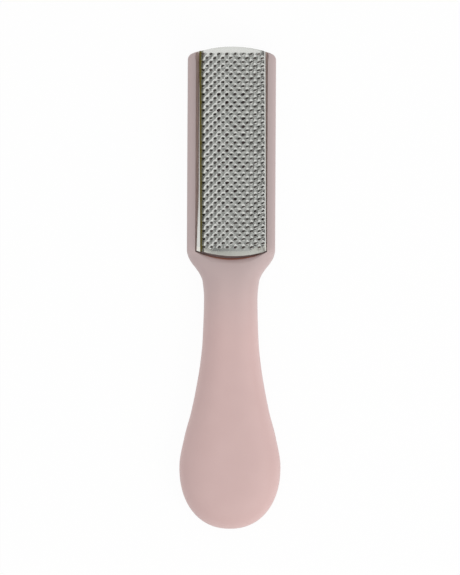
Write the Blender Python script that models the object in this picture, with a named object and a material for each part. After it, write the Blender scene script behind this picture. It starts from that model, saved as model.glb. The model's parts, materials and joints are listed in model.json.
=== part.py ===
"""Callus remover: a moulded two-shell handle whose head carries a slide-in rasp plate.

The tool lies on its flat back. +Z points out of the rasp, +Y runs from the handle to the head,
and the origin is on the back, at the middle of the tool's length and width.
"""

import math

import bmesh
import bpy
from mathutils import Vector

MM = 0.001

# Outline of the handle, seen from the rasp's side
LENGTH = 180.0 * MM
HEAD_LENGTH = 76.0 * MM
HEAD_HALF_WIDTH = 16.5 * MM
HEAD_END_RADIUS = 46.0 * MM
HEAD_CORNER_RADIUS = 2.6 * MM
SHOULDER_LENGTH = 18.0 * MM
NECK_HALF_WIDTH = 10.0 * MM
BELLY_HALF_WIDTH = 18.9 * MM
BELLY_END_LENGTH = 23.2 * MM
BELLY_END_POWER = 2.2
SHOULDER_SHARES = [
    (0.0, 0.0), (0.13, 0.08), (0.25, 0.26), (0.38, 0.54), (0.5, 0.76), (0.63, 0.905), (1.0, 1.0),
]
BELLY_SHARES = [
    (0.0, 0.0), (0.25, 0.053), (0.39, 0.151), (0.535, 0.316), (0.68, 0.527), (0.82, 0.79), (1.0, 1.0),
]

# Heights of the handle above its flat back
BACK_EDGE_RADIUS = 2.5 * MM
RAIL_HEIGHT = 7.5 * MM
WALL_CREST_HEIGHT = 8.6 * MM
NECK_CREST_HEIGHT = 10.4 * MM
BELLY_CREST_HEIGHT = 11.2 * MM
BLEND_LENGTH = 4.0 * MM
HEAD_ROUNDING_POWER = 14.0
HANDLE_FACE_POWER = 3.2
HANDLE_RIM_POWER = 2.1

# Rasp plate, bent from punched sheet
SHEET = 0.5 * MM
PLATE_LENGTH = 78.1 * MM
PLATE_CREST_HEIGHT = 12.5 * MM
PLATE_ARCH_RADIUS = 28.0 * MM
PLATE_ARCH_HALF_WIDTH = 11.75 * MM
PLATE_NECK_END_RADIUS = 42.0 * MM
FLANGE_HALF_WIDTH = 12.95 * MM
FOOT_HALF_WIDTH = 14.3 * MM
FLANGE_CORNER_HEIGHT = 7.65 * MM
FOOT_HEIGHT = 6.4 * MM
BEND_DROP = 0.45 * MM
BEND_REACH = 0.2 * MM
LEAN_AT_HEAD = 0.3 * MM
LEAN_AT_NECK = 0.9 * MM

# Teeth, punched up in staggered rows
TOOTH_PITCH = 3.0 * MM
TOOTH_COLUMNS = 16
TOOTH_ROWS = 49
TOOTH_HEIGHT = 0.45 * MM
TOOTH_RIM_RADIUS = 0.62 * MM
TOOTH_BURR_LIFT = 0.12 * MM
END_STRIP = 2.8 * MM
EDGE_MARGIN = 0.3 * MM

# Channel, bed and dust pocket in the head
RUNNING_CLEARANCE = 0.35 * MM
SLOT_CLEARANCE = 0.3 * MM
NECK_END_GAP = 0.75 * MM
WALL_END_RADIUS = 38.0 * MM
CHANNEL_DEPTH = 2.5 * MM
BED_HALF_WIDTH = 9.5 * MM
BED_CLEARANCE = 0.8 * MM
BED_SETBACK = 0.6 * MM
BED_NECK_MARGIN = 1.3 * MM
POCKET_HALF_WIDTH = 6.0 * MM
POCKET_LENGTH = 49.0 * MM
POCKET_NECK_MARGIN = 19.0 * MM

# Back cover, hollow handle and the pins that join them
COVER_THICKNESS = 2.0 * MM
SEAT_GAP = 0.3 * MM
RIM_WIDTH = 3.1 * MM
LEDGE_WIDTH = 1.5 * MM
ROOF_THICKNESS = 2.0 * MM
HOLLOW_NECK_MARGIN = 12.0 * MM
PIN_RADIUS = 1.5 * MM
BOSS_RADIUS = 3.0 * MM
HANDLE_PIN_LENGTH = 5.0 * MM
HEAD_PIN_LENGTH = 2.8 * MM
HEAD_PIN_SIDE_WALL = 0.9 * MM
HEAD_PIN_END_MARGIN = 6.0 * MM
HANDLE_PIN_SHARES = [0.12, 0.5, 0.9]

# Fineness of the facets, and the overrun of every cut
BELLY_END_STEPS = 14
SIDE_STEPS = 12
SHOULDER_STEPS = 12
HEAD_STEPS = 3
CORNER_STEPS = 4
END_ARC_STEPS = 6
ROUND_STEPS = 8
FILLET_STEPS = 3
SLAB_STEPS = 12
PIN_SIDES = 16
OVERRUN = 1.0 * MM
MERGE = 0.001 * MM

TIP_Y = LENGTH / 2
SHOULDER_Y = TIP_Y - HEAD_LENGTH
NECK_Y = SHOULDER_Y - SHOULDER_LENGTH
BELLY_Y = BELLY_END_LENGTH - TIP_Y
PLATE_NECK_Y = TIP_Y - PLATE_LENGTH
WALL_Y = PLATE_NECK_Y - NECK_END_GAP
CHANNEL_HALF_WIDTH = FLANGE_HALF_WIDTH + RUNNING_CLEARANCE
CHANNEL_FLOOR = RAIL_HEIGHT - CHANNEL_DEPTH
SEAT_HEIGHT = COVER_THICKNESS + SEAT_GAP
PLATE_ARCH_EDGE = PLATE_ARCH_RADIUS * math.asin(PLATE_ARCH_HALF_WIDTH / PLATE_ARCH_RADIUS)


def lerp(low, high, share):
    return low + (high - low) * share


def smooth(share):
    share = min(max(share, 0.0), 1.0)
    return share * share * (3 - 2 * share)


def through(points, share):
    """Follows a smooth curve through (share, height) points, without overshoot."""
    steps = [(b[1] - a[1]) / (b[0] - a[0]) for a, b in zip(points, points[1:])]
    slopes = [0.0]
    for before, after in zip(steps, steps[1:]):
        slopes.append(2 * before * after / (before + after) if before * after > 0 else 0.0)
    slopes.append(0.0)
    k = max(i for i in range(len(steps)) if share >= points[i][0] or i == 0)
    width = points[k + 1][0] - points[k][0]
    t = min(max((share - points[k][0]) / width, 0.0), 1.0)
    rise = smooth(t) * (points[k + 1][1] - points[k][1])
    start = t * (1 - t) ** 2 * slopes[k] * width
    end = t * t * (t - 1) * slopes[k + 1] * width
    return points[k][1] + rise + start + end


def arc_drop(x, radius):
    """How far an arc of that radius has fallen from its crest at x."""
    return radius - math.sqrt(radius * radius - x * x)


def half_width(y):
    """Half the handle's width at y, below the head's end."""
    if y >= SHOULDER_Y:
        return HEAD_HALF_WIDTH
    if y >= NECK_Y:
        share = (SHOULDER_Y - y) / SHOULDER_LENGTH
        return lerp(HEAD_HALF_WIDTH, NECK_HALF_WIDTH, through(SHOULDER_SHARES, share))
    share = (NECK_Y - y) / (NECK_Y - BELLY_Y)
    return lerp(NECK_HALF_WIDTH, BELLY_HALF_WIDTH, through(BELLY_SHARES, share))


def spaced(low, high, steps):
    """Evenly spaced places from low up to, but without, high."""
    return [lerp(low, high, k / steps) for k in range(steps)]


def belly_end(inset):
    """The superellipse round the handle's end, from its tip to its widest place."""
    points = []
    for angle in spaced(0.0, math.pi / 2, BELLY_END_STEPS):
        across = (BELLY_HALF_WIDTH - inset) * math.sin(angle) ** (2 / BELLY_END_POWER)
        along = (BELLY_END_LENGTH - inset) * math.cos(angle) ** (2 / BELLY_END_POWER)
        points.append((across, BELLY_Y - along))
    return points


def side_point(y, inset):
    """A point of the outline's side, moved in by the inset across the outline."""
    slope = (half_width(y + MERGE) - half_width(y - MERGE)) / (2 * MERGE)
    return (half_width(y) - inset * math.hypot(1.0, slope), y)


def head_end(inset):
    """The rounded corner and the end arc of the head, from its side to the centre line."""
    radius = HEAD_END_RADIUS - inset
    corner = max(HEAD_CORNER_RADIUS - inset, HEAD_CORNER_RADIUS / 4)
    arc_y = TIP_Y - HEAD_END_RADIUS
    corner_x = HEAD_HALF_WIDTH - inset - corner
    rise = math.sqrt((radius - corner) ** 2 - corner_x**2)
    turn = math.atan2(rise, corner_x)
    points = []
    for angle in spaced(0.0, turn, CORNER_STEPS):
        points.append((corner_x + corner * math.cos(angle), arc_y + rise + corner * math.sin(angle)))
    for angle in spaced(turn, math.pi / 2, END_ARC_STEPS):
        points.append((radius * math.cos(angle), arc_y + radius * math.sin(angle)))
    return points + [(0.0, arc_y + radius)]


def right_side(inset, top_y=None):
    """The outline's right half, from the handle's tip up to the head, or up to a straight end at top_y."""
    points = belly_end(inset)
    places = spaced(BELLY_Y, NECK_Y, SIDE_STEPS) + spaced(NECK_Y, SHOULDER_Y, SHOULDER_STEPS)
    if top_y is not None:
        places = [y for y in places if y < top_y - OVERRUN]
        return points + [side_point(y, inset) for y in places] + [side_point(top_y, inset), (0.0, top_y)]
    end = head_end(inset)
    places += spaced(SHOULDER_Y, end[0][1], HEAD_STEPS)
    return points + [side_point(y, inset) for y in places] + end


def whole_loop(right):
    """Both halves of an outline as one loop, counterclockwise from the handle's tip."""
    return right + [(-x, y) for x, y in reversed(right[1:-1])]


def make_object(name, bm, material, smooth_angle=None):
    bmesh.ops.remove_doubles(bm, verts=bm.verts, dist=MERGE)
    bmesh.ops.recalc_face_normals(bm, faces=bm.faces)
    mesh = bpy.data.meshes.new(name)
    bm.to_mesh(mesh)
    bm.free()
    if smooth_angle is not None:
        mesh.shade_smooth()
        mesh.set_sharp_from_angle(angle=smooth_angle)
    obj = bpy.data.objects.new(name, mesh)
    bpy.context.scene.collection.objects.link(obj)
    if material is not None:
        mesh.materials.append(material)
    return obj


def make_material(name, colour, roughness, metallic):
    material = bpy.data.materials.new(name)
    material.use_nodes = True
    shader = material.node_tree.nodes["Principled BSDF"]
    shader.inputs["Base Color"].default_value = (*colour, 1.0)
    shader.inputs["Roughness"].default_value = roughness
    shader.inputs["Metallic"].default_value = metallic
    return material


def as_tool(obj):
    """Marks an object as a cutter or guide, left out of the finished part."""
    obj.hide_render = True
    obj.display_type = "WIRE"
    return obj


def shape_with(obj, tool, operation):
    """Adds the tool to the object, or cuts it away."""
    as_tool(tool)
    modifier = obj.modifiers.new(tool.name, "BOOLEAN")
    modifier.operation = operation
    modifier.solver = "EXACT"
    modifier.object = tool


def prism(name, right, low, high, material=None):
    """An outline extruded from low to high."""
    bm = bmesh.new()
    floor = bm.faces.new([bm.verts.new((x, y, low)) for x, y in whole_loop(right)])
    grown = bmesh.ops.extrude_face_region(bm, geom=[floor])
    moved = [g for g in grown["geom"] if isinstance(g, bmesh.types.BMVert)]
    bmesh.ops.translate(bm, verts=moved, vec=(0.0, 0.0, high - low))
    return make_object(name, bm, material)


def slab(name, half_span, centre, ends, low, high):
    """A block across x. Its two ends along y, its floor and its roof are functions of x."""
    bm = bmesh.new()
    rows = []
    for k in range(SLAB_STEPS + 1):
        x = centre + half_span * math.sin(lerp(-math.pi / 2, math.pi / 2, k / SLAB_STEPS))
        y_low, y_high = ends[0](x), ends[1](x)
        corners = [(y_low, low(x)), (y_high, low(x)), (y_high, high(x)), (y_low, high(x))]
        rows.append([bm.verts.new((x, y, z)) for y, z in corners])
    for row, after in zip(rows, rows[1:]):
        for k in range(4):
            bm.faces.new((row[k], row[k - 1], after[k - 1], after[k]))
    bm.faces.new(rows[0])
    bm.faces.new(rows[-1])
    return make_object(name, bm, None)


def posts(name, places, radius, low, top_at):
    """Upright round posts at (x, y) places, up to a height that is a function of y."""
    bm = bmesh.new()
    for x, y in places:
        depth = top_at(y) - low
        made = bmesh.ops.create_cone(
            bm, cap_ends=True, segments=PIN_SIDES, radius1=radius, radius2=radius, depth=depth
        )
        bmesh.ops.translate(bm, verts=made["verts"], vec=(x, y, low + depth / 2))
    return make_object(name, bm, None)


def stacked_rings(name, right, spine, section, material=None, smooth_angle=None):
    """A closed body of rings round a spine. section(x, y) lists (share kept from the spine, height)."""
    bm = bmesh.new()
    columns = []
    for x, y in whole_loop(right):
        hub = min(max(y, spine[0]), spine[1])
        kept = section(math.hypot(x, y - hub), y)
        columns.append([bm.verts.new((x * share, lerp(hub, y, share), z)) for share, z in kept])
    for column, after in zip(columns, columns[1:] + columns[:1]):
        for k in range(len(column) - 1):
            bm.faces.new((column[k], column[k + 1], after[k + 1], after[k]))
    bmesh.ops.remove_doubles(bm, verts=bm.verts, dist=MERGE)
    bmesh.ops.dissolve_degenerate(bm, edges=bm.edges, dist=MERGE)
    return make_object(name, bm, material, smooth_angle)


def crest_height(y):
    """Height of the handle's centre line, which dips at the neck under the thumb."""
    if y >= NECK_Y:
        return lerp(NECK_CREST_HEIGHT, WALL_CREST_HEIGHT, smooth((y - NECK_Y) / (WALL_Y - NECK_Y)))
    return lerp(NECK_CREST_HEIGHT, BELLY_CREST_HEIGHT, smooth((NECK_Y - y) / (NECK_Y - BELLY_Y)))


def superellipse(angle, side_power, top_power):
    return math.cos(angle) ** (2 / side_power), math.sin(angle) ** (2 / top_power)


def body_section(reach, y):
    """Flat back, rounded back edge, then a square-topped head that turns into a crowned handle."""
    rings = [(0.0, 0.0)]
    for k in range(FILLET_STEPS + 1):
        angle = math.pi / 2 * k / FILLET_STEPS
        pulled = BACK_EDGE_RADIUS * (1 - math.sin(angle))
        rings.append((1 - pulled / reach, BACK_EDGE_RADIUS * (1 - math.cos(angle))))
    crowned = smooth((WALL_Y + BLEND_LENGTH - y) / BLEND_LENGTH)
    for k in range(1, ROUND_STEPS + 1):
        angle = math.pi / 2 * k / ROUND_STEPS
        square = superellipse(angle, HEAD_ROUNDING_POWER, HEAD_ROUNDING_POWER)
        crown = superellipse(angle, HANDLE_FACE_POWER, HANDLE_RIM_POWER)
        share = lerp(square[0], crown[0], crowned) if k < ROUND_STEPS else 0.0
        square_z = lerp(BACK_EDGE_RADIUS, RAIL_HEIGHT, square[1])
        crown_z = lerp(BACK_EDGE_RADIUS, crest_height(y), crown[1])
        rings.append((share, lerp(square_z, crown_z, crowned)))
    return rings


def hollow_section(reach, y):
    """The handle's hollow: straight sides from below the cover's seat, and a roof that follows the crown."""
    roof = crest_height(y) - ROOF_THICKNESS
    rings = [(0.0, SEAT_HEIGHT - OVERRUN), (1.0, SEAT_HEIGHT - OVERRUN)]
    for k in range(ROUND_STEPS + 1):
        share, rise = superellipse(math.pi / 2 * k / ROUND_STEPS, HANDLE_FACE_POWER, HANDLE_RIM_POWER)
        rings.append((share if k < ROUND_STEPS else 0.0, lerp(SEAT_HEIGHT, roof, rise)))
    return rings


def bed_crown(x):
    """Top of the bed that backs the plate, one clearance below the sheet."""
    return PLATE_CREST_HEIGHT - SHEET - BED_CLEARANCE - arc_drop(x, PLATE_ARCH_RADIUS)


def neck_wall(x):
    """The curved wall that closes the channel at the handle's end."""
    return WALL_Y + arc_drop(x, WALL_END_RADIUS)


def pin_places():
    """Where the cover's pins stand: along the handle, and in pairs at both ends of the head."""
    low, high = BELLY_Y, WALL_Y - HOLLOW_NECK_MARGIN
    handle = [(0.0, lerp(high, low, share)) for share in HANDLE_PIN_SHARES]
    ends = (TIP_Y - HEAD_PIN_END_MARGIN, WALL_Y + HEAD_PIN_END_MARGIN)
    across = BED_HALF_WIDTH - HEAD_PIN_SIDE_WALL - PIN_RADIUS - SEAT_GAP
    head = [(side * across, y) for side in (-1, 1) for y in ends]
    return handle, head


def cut_channel(shell):
    """The plate's channel, the bed in it, the grooves for the plate's feet and the dust pocket."""
    above = PLATE_CREST_HEIGHT + OVERRUN

    def past_tip(x):
        return TIP_Y + OVERRUN

    channel = slab("channel_cut", CHANNEL_HALF_WIDTH, 0.0, (neck_wall, past_tip),
                   lambda x: CHANNEL_FLOOR, lambda x: above)
    shape_with(shell, channel, "DIFFERENCE")
    bed = slab("bed_block", BED_HALF_WIDTH, 0.0,
               (lambda x: neck_wall(x) + BED_NECK_MARGIN,
                lambda x: TIP_Y - BED_SETBACK - arc_drop(x, HEAD_END_RADIUS)),
               lambda x: CHANNEL_FLOOR - OVERRUN, bed_crown)
    shape_with(shell, bed, "UNION")
    inner = FLANGE_HALF_WIDTH - SHEET
    outer = FOOT_HALF_WIDTH + RUNNING_CLEARANCE
    for side, label in ((-1, "left"), (1, "right")):
        groove = slab(f"{label}_groove_cut", (outer - inner) / 2, side * (outer + inner) / 2,
                      (neck_wall, past_tip), lambda x: FOOT_HEIGHT - SHEET - SLOT_CLEARANCE,
                      lambda x: FOOT_HEIGHT + SLOT_CLEARANCE)
        shape_with(shell, groove, "DIFFERENCE")
    pocket_low = WALL_Y + POCKET_NECK_MARGIN
    pocket_high = pocket_low + POCKET_LENGTH
    pocket = slab("dust_pocket_cut", POCKET_HALF_WIDTH, 0.0,
                  (lambda x: pocket_low + arc_drop(x, POCKET_HALF_WIDTH),
                   lambda x: pocket_high - arc_drop(x, POCKET_HALF_WIDTH)),
                  lambda x: SEAT_HEIGHT - OVERRUN, lambda x: above)
    shape_with(shell, pocket, "DIFFERENCE")


def make_front_shell(plastic):
    """The moulding seen from the rasp's side: rails, channel, neck and belly, hollow behind."""
    spine = (BELLY_Y, TIP_Y - HEAD_HALF_WIDTH)
    shell = stacked_rings("handle_front_shell", right_side(0.0), spine, body_section, plastic,
                          math.radians(35))
    seat = prism("cover_seat_cut", right_side(RIM_WIDTH), -OVERRUN, SEAT_HEIGHT)
    shape_with(shell, seat, "DIFFERENCE")
    hollow_top = WALL_Y - HOLLOW_NECK_MARGIN
    hollow = stacked_rings("hollow_cut", right_side(RIM_WIDTH + LEDGE_WIDTH, hollow_top),
                           (BELLY_Y, hollow_top - NECK_HALF_WIDTH / 2), hollow_section)
    shape_with(shell, hollow, "DIFFERENCE")
    cut_channel(shell)
    handle_pins, head_pins = pin_places()
    shape_with(shell, posts("boss_posts", handle_pins, BOSS_RADIUS, SEAT_HEIGHT,
                            lambda y: crest_height(y) - ROOF_THICKNESS / 2), "UNION")
    bore = PIN_RADIUS + SEAT_GAP
    shape_with(shell, posts("handle_socket_cut", handle_pins, bore, SEAT_HEIGHT - OVERRUN,
                            lambda y: SEAT_HEIGHT + HANDLE_PIN_LENGTH), "DIFFERENCE")
    shape_with(shell, posts("head_socket_cut", head_pins, bore, SEAT_HEIGHT - OVERRUN,
                            lambda y: SEAT_HEIGHT + HEAD_PIN_LENGTH), "DIFFERENCE")
    return shell


def make_back_cover(plastic):
    """The flat cover that closes the back, with the pins that locate it in the front shell."""
    cover = prism("handle_back_cover", right_side(RIM_WIDTH + SEAT_GAP), 0.0, COVER_THICKNESS, plastic)
    handle_pins, head_pins = pin_places()
    inside = COVER_THICKNESS / 2
    shape_with(cover, posts("handle_pins", handle_pins, PIN_RADIUS, inside,
                            lambda y: COVER_THICKNESS + HANDLE_PIN_LENGTH), "UNION")
    shape_with(cover, posts("head_pins", head_pins, PIN_RADIUS, inside,
                            lambda y: COVER_THICKNESS + HEAD_PIN_LENGTH), "UNION")
    return cover


def plate_ends(across):
    """Where the plate starts and ends along y, at a distance across from its middle."""
    return (
        PLATE_NECK_Y + arc_drop(across, PLATE_NECK_END_RADIUS),
        TIP_Y - arc_drop(across, HEAD_END_RADIUS),
    )


def plate_lean(y):
    """The arch stands a little to one side of the channel's middle, more so at the neck."""
    return lerp(LEAN_AT_NECK, LEAN_AT_HEAD, (y - PLATE_NECK_Y) / PLATE_LENGTH)


def arch_point(across, y, lift):
    """A point of the arch at an arc length across from its crest line, lifted off the outer face."""
    radius = PLATE_ARCH_RADIUS + lift
    angle = across / PLATE_ARCH_RADIUS
    drop = PLATE_ARCH_RADIUS - radius * math.cos(angle)
    return Vector((plate_lean(y) + radius * math.sin(angle), y, PLATE_CREST_HEIGHT - drop))


def flange_points(side, y_of):
    """Outer and inner corners of one flange, from its bend down to its foot, for a row of the arch's edge."""
    edge = arch_point(side * PLATE_ARCH_EDGE, y_of(PLATE_ARCH_HALF_WIDTH), 0.0)
    bend_x = edge.x + side * BEND_REACH
    bend_z = edge.z - BEND_DROP
    leg_x = side * FLANGE_HALF_WIDTH
    foot_x = side * FOOT_HALF_WIDTH
    bend_y = y_of(PLATE_ARCH_HALF_WIDTH)
    leg_y = y_of(FLANGE_HALF_WIDTH)
    foot_y = y_of(FOOT_HALF_WIDTH)
    inward = -side * SHEET
    outer = [
        (bend_x, bend_y, bend_z),
        (leg_x, leg_y, FLANGE_CORNER_HEIGHT),
        (leg_x, leg_y, FOOT_HEIGHT),
        (foot_x, foot_y, FOOT_HEIGHT),
    ]
    inner = [
        (bend_x + inward, bend_y, bend_z - SHEET / 2),
        (leg_x + inward, leg_y, FLANGE_CORNER_HEIGHT - SHEET / 2),
        (leg_x + inward, leg_y, FOOT_HEIGHT - SHEET),
        (foot_x, foot_y, FOOT_HEIGHT - SHEET),
    ]
    return list(zip(outer, inner))


class DoubledSheet:
    """Faces laid once on the outer side of a sheet, then closed with an inner side and walls."""

    def __init__(self):
        self.pairs = {}
        self.faces = []

    def add(self, *keys):
        self.faces.append(keys)

    def build(self, bm):
        outer = {key: bm.verts.new(pair[0]) for key, pair in self.pairs.items()}
        inner = {key: bm.verts.new(pair[1]) for key, pair in self.pairs.items()}
        used = {}
        for keys in self.faces:
            bm.faces.new([outer[key] for key in keys])
            bm.faces.new([inner[key] for key in reversed(keys)])
            for a, b in zip(keys, keys[1:] + keys[:1]):
                used[(a, b)] = True
        for a, b in used:
            if (b, a) not in used:
                bm.faces.new((outer[b], outer[a], inner[a], inner[b]))


def lattice_place(column, row):
    """Arc length across and y of a lattice place, kept inside the plate's edges."""
    pitch = TOOTH_PITCH / 2
    across = (column - (TOOTH_COLUMNS - 1) / 2) * pitch
    across = min(max(across, -PLATE_ARCH_EDGE), PLATE_ARCH_EDGE)
    low, high = plate_ends(abs(across))
    y = TIP_Y - END_STRIP - row * pitch
    return across, min(max(y, low + EDGE_MARGIN), high - EDGE_MARGIN)


def make_rasp_plate(steel):
    """The punched plate: crater teeth on an arch, smooth ends, and flanges with feet for the grooves."""
    sheet = DoubledSheet()
    last_column, last_row = TOOTH_COLUMNS - 1, TOOTH_ROWS - 1

    def knot(column, row):
        key = (column, row)
        if key not in sheet.pairs:
            across, y = lattice_place(column, row)
            sheet.pairs[key] = (arch_point(across, y, 0.0), arch_point(across, y, -SHEET))
        return key

    def rim(column, row, corner):
        key = (column, row, corner)
        across, y = lattice_place(column, row)
        turn = math.pi / 2 * corner
        across += TOOTH_RIM_RADIUS * math.cos(turn)
        y -= TOOTH_RIM_RADIUS * math.sin(turn)
        top, bottom = TOOTH_HEIGHT, TOOTH_BURR_LIFT - SHEET
        sheet.pairs[key] = (arch_point(across, y, top), arch_point(across, y, bottom))
        return key

    for row in range(TOOTH_ROWS):
        for column in range(row % 2, TOOTH_COLUMNS, 2):
            steps = ((1, 0), (0, 1), (-1, 0), (0, -1))
            around = [knot(column + right, row + down) for right, down in steps]
            rims = [rim(column, row, corner) for corner in range(4)]
            for k in range(4):
                sheet.add(around[k], around[k - 1], rims[k - 1], rims[k])
    close_edges(sheet, knot, last_column, last_row)
    bm = bmesh.new()
    sheet.build(bm)
    return make_object("rasp_plate", bm, steel)


def close_edges(sheet, knot, last_column, last_row):
    """Fills the notches round the lattice, then lays the smooth ends and the flanges along them."""
    left = [knot(-1, row) for row in range(0, last_row + 1, 2)]
    right = [knot(last_column + 1, row) for row in range(1, last_row, 2)]
    head = [knot(column, -1) for column in range(0, last_column, 2)]
    neck = [knot(column, last_row + 1) for column in range(0, last_column, 2)]
    for k in range(len(left) - 1):
        sheet.add(left[k], left[k + 1], knot(0, 2 * k + 1))
    for k in range(len(right) - 1):
        sheet.add(right[k + 1], right[k], knot(last_column, 2 * k + 2))
    for k in range(len(head) - 1):
        sheet.add(head[k + 1], head[k], knot(2 * k + 1, 0))
        sheet.add(neck[k], neck[k + 1], knot(2 * k + 1, last_row))
    rows = lay_flanges(sheet, left, right)
    lay_end(sheet, rows["head"], [left[0], *head, knot(last_column, 0), right[0]], head_side=True)
    lay_end(sheet, rows["neck"], [left[-1], *neck, knot(last_column, last_row), right[-1]], head_side=False)


def lay_flanges(sheet, left, right):
    """Strips from the arch's edges down to the feet, one row of corners for each knot on the edge."""
    edges = {}
    for side, knots, label in ((-1, left, "left"), (1, right, "right")):
        rows = []
        for knot in ["head_end", *knots, "neck_end"]:
            rows.append(flange_row(sheet, side, label, knot))
        for row, after in zip(rows, rows[1:]):
            for k in range(len(row) - 1):
                quad = (row[k], after[k], after[k + 1], row[k + 1])
                sheet.add(*(quad if side > 0 else tuple(reversed(quad))))
        edges[label] = rows
    return {"head": (edges["left"][0], edges["right"][0]), "neck": (edges["left"][-1], edges["right"][-1])}


def flange_row(sheet, side, label, knot):
    """Keys of one row across a flange, from the arch's edge to the foot's tip."""
    if knot == "head_end":
        def y_of(across):
            return plate_ends(across)[1]
    elif knot == "neck_end":
        def y_of(across):
            return plate_ends(across)[0]
    else:
        def y_of(across):
            low, high = plate_ends(across)
            return min(max(sheet.pairs[knot][0].y, low + EDGE_MARGIN), high - EDGE_MARGIN)
    if knot in sheet.pairs:
        first = knot
    else:
        first = (label, knot, 0)
        y = y_of(PLATE_ARCH_HALF_WIDTH)
        edge = side * PLATE_ARCH_EDGE
        sheet.pairs[first] = (arch_point(edge, y, 0.0), arch_point(edge, y, -SHEET))
    keys = [first]
    for k, pair in enumerate(flange_points(side, y_of)):
        keys.append((label, knot, k + 1))
        sheet.pairs[keys[-1]] = pair
    return keys


def lay_end(sheet, corners, line, head_side):
    """The smooth strip between the last lattice knots and the plate's curved end."""
    edge = [corners[0][0]]
    for k, key in enumerate(line[1:-1]):
        across = lattice_place(key[0], key[1])[0]
        y = plate_ends(abs(across))[1 if head_side else 0]
        new = ("end", head_side, k)
        sheet.pairs[new] = (arch_point(across, y, 0.0), arch_point(across, y, -SHEET))
        edge.append(new)
    edge.append(corners[1][0])
    for k in range(len(line) - 1):
        quad = (line[k], line[k + 1], edge[k + 1], edge[k])
        sheet.add(*(quad if head_side else tuple(reversed(quad))))


def main():
    for obj in list(bpy.data.objects):
        bpy.data.objects.remove(obj, do_unlink=True)
    shell_plastic = make_material("moulded_pink_plastic", (0.62, 0.42, 0.40), 0.45, 0.0)
    cover_plastic = make_material("moulded_pink_cover", (0.60, 0.41, 0.39), 0.5, 0.0)
    steel = make_material("nickel_plated_steel", (0.62, 0.62, 0.6), 0.25, 1.0)
    make_front_shell(shell_plastic)
    make_back_cover(cover_plastic)
    make_rasp_plate(steel)


main()
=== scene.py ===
# %% [markdown]
# # Callus remover
# This tool is a foot file. A moulded plastic paddle carries a curved plate of punched steel,
# and the teeth of that plate rub hard skin away. The plate slides out of the head along +Y,
# so that the dust pocket below it can be emptied.
#
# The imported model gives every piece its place, its size and its motion. Here each piece is
# made again with finer surfaces, and it gets the finish of the real one. All lengths are in
# metres, +Z points out of the rasp, and the tool lies on its flat back at Z = 0.

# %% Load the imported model
import json
import math

import bmesh
import bpy
from mathutils import Matrix, Vector
from mathutils.bvhtree import BVHTree

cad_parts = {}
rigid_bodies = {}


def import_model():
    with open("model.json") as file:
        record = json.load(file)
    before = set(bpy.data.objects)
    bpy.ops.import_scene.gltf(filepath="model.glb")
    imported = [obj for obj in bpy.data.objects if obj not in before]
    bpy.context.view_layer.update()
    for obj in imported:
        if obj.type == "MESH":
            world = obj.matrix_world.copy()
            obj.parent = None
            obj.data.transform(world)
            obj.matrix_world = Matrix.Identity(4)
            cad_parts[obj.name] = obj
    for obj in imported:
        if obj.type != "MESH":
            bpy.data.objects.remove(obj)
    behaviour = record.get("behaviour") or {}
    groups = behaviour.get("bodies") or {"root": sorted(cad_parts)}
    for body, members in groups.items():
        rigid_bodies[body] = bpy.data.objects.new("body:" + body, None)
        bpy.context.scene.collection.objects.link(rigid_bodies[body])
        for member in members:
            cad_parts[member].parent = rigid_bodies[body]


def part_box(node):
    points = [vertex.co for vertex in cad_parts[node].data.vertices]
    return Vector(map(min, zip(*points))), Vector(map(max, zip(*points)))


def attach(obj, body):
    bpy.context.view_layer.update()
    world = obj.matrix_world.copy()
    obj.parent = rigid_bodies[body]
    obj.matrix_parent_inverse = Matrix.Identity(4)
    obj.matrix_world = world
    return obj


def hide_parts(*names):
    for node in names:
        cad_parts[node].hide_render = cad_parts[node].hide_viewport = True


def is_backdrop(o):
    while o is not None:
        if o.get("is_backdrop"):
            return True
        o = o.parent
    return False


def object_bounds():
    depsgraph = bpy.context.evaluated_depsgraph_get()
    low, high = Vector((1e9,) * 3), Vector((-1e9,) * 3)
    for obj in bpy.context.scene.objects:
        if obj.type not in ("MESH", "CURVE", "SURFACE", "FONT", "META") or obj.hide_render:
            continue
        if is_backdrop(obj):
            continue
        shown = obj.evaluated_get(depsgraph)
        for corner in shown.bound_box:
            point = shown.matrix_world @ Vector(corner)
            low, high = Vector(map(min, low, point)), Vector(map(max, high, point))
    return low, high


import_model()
cad_box = [list(corner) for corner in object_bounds()]
shell_low, shell_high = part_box("handle_front_shell")
plate_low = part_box("rasp_plate")[0]

# %% [markdown]
# ## Helpers that every step uses
# A length is written as a number of millimetres times `MM`, so it reads like a drawing.
# Colours are written as sRGB hex values, which is how a colour picker shows them, and one
# function turns them into the linear values that Blender's sockets hold. Another function
# adds a node with its settings and links, and it serves shaders and Geometry Nodes alike.

# %% Units, colours and nodes
MM = 0.001
MERGE = 0.001 * MM


def linear(hex_colour):
    """Turns an sRGB hex colour into linear red, green, blue and alpha."""
    channels = [int(hex_colour[k:k + 2], 16) / 255 for k in (1, 3, 5)]
    return [c / 12.92 if c <= 0.04045 else ((c + 0.055) / 1.055) ** 2.4 for c in channels] + [1.0]


def fill_inputs(node, inputs):
    """Sets or links inputs by name or number. A node stands for its first output."""
    for name, value in inputs.items():
        if isinstance(value, bpy.types.Node):
            value = value.outputs[0]
        if isinstance(value, bpy.types.NodeSocket):
            node.id_data.links.new(value, node.inputs[name])
        else:
            node.inputs[name].default_value = value


def add_node(tree, kind, inputs=None, **settings):
    """Adds a node with its settings, and fills its inputs."""
    node = tree.nodes.new(kind)
    for name, value in settings.items():
        setattr(node, name, value)
    fill_inputs(node, inputs or {})
    return node


print("sRGB #808080 is", round(linear("#808080")[0], 3), "in linear light")

# %% Curves and meshes


def lerp(low, high, share):
    return low + (high - low) * share


def smooth(share):
    share = min(max(share, 0.0), 1.0)
    return share * share * (3 - 2 * share)


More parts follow.
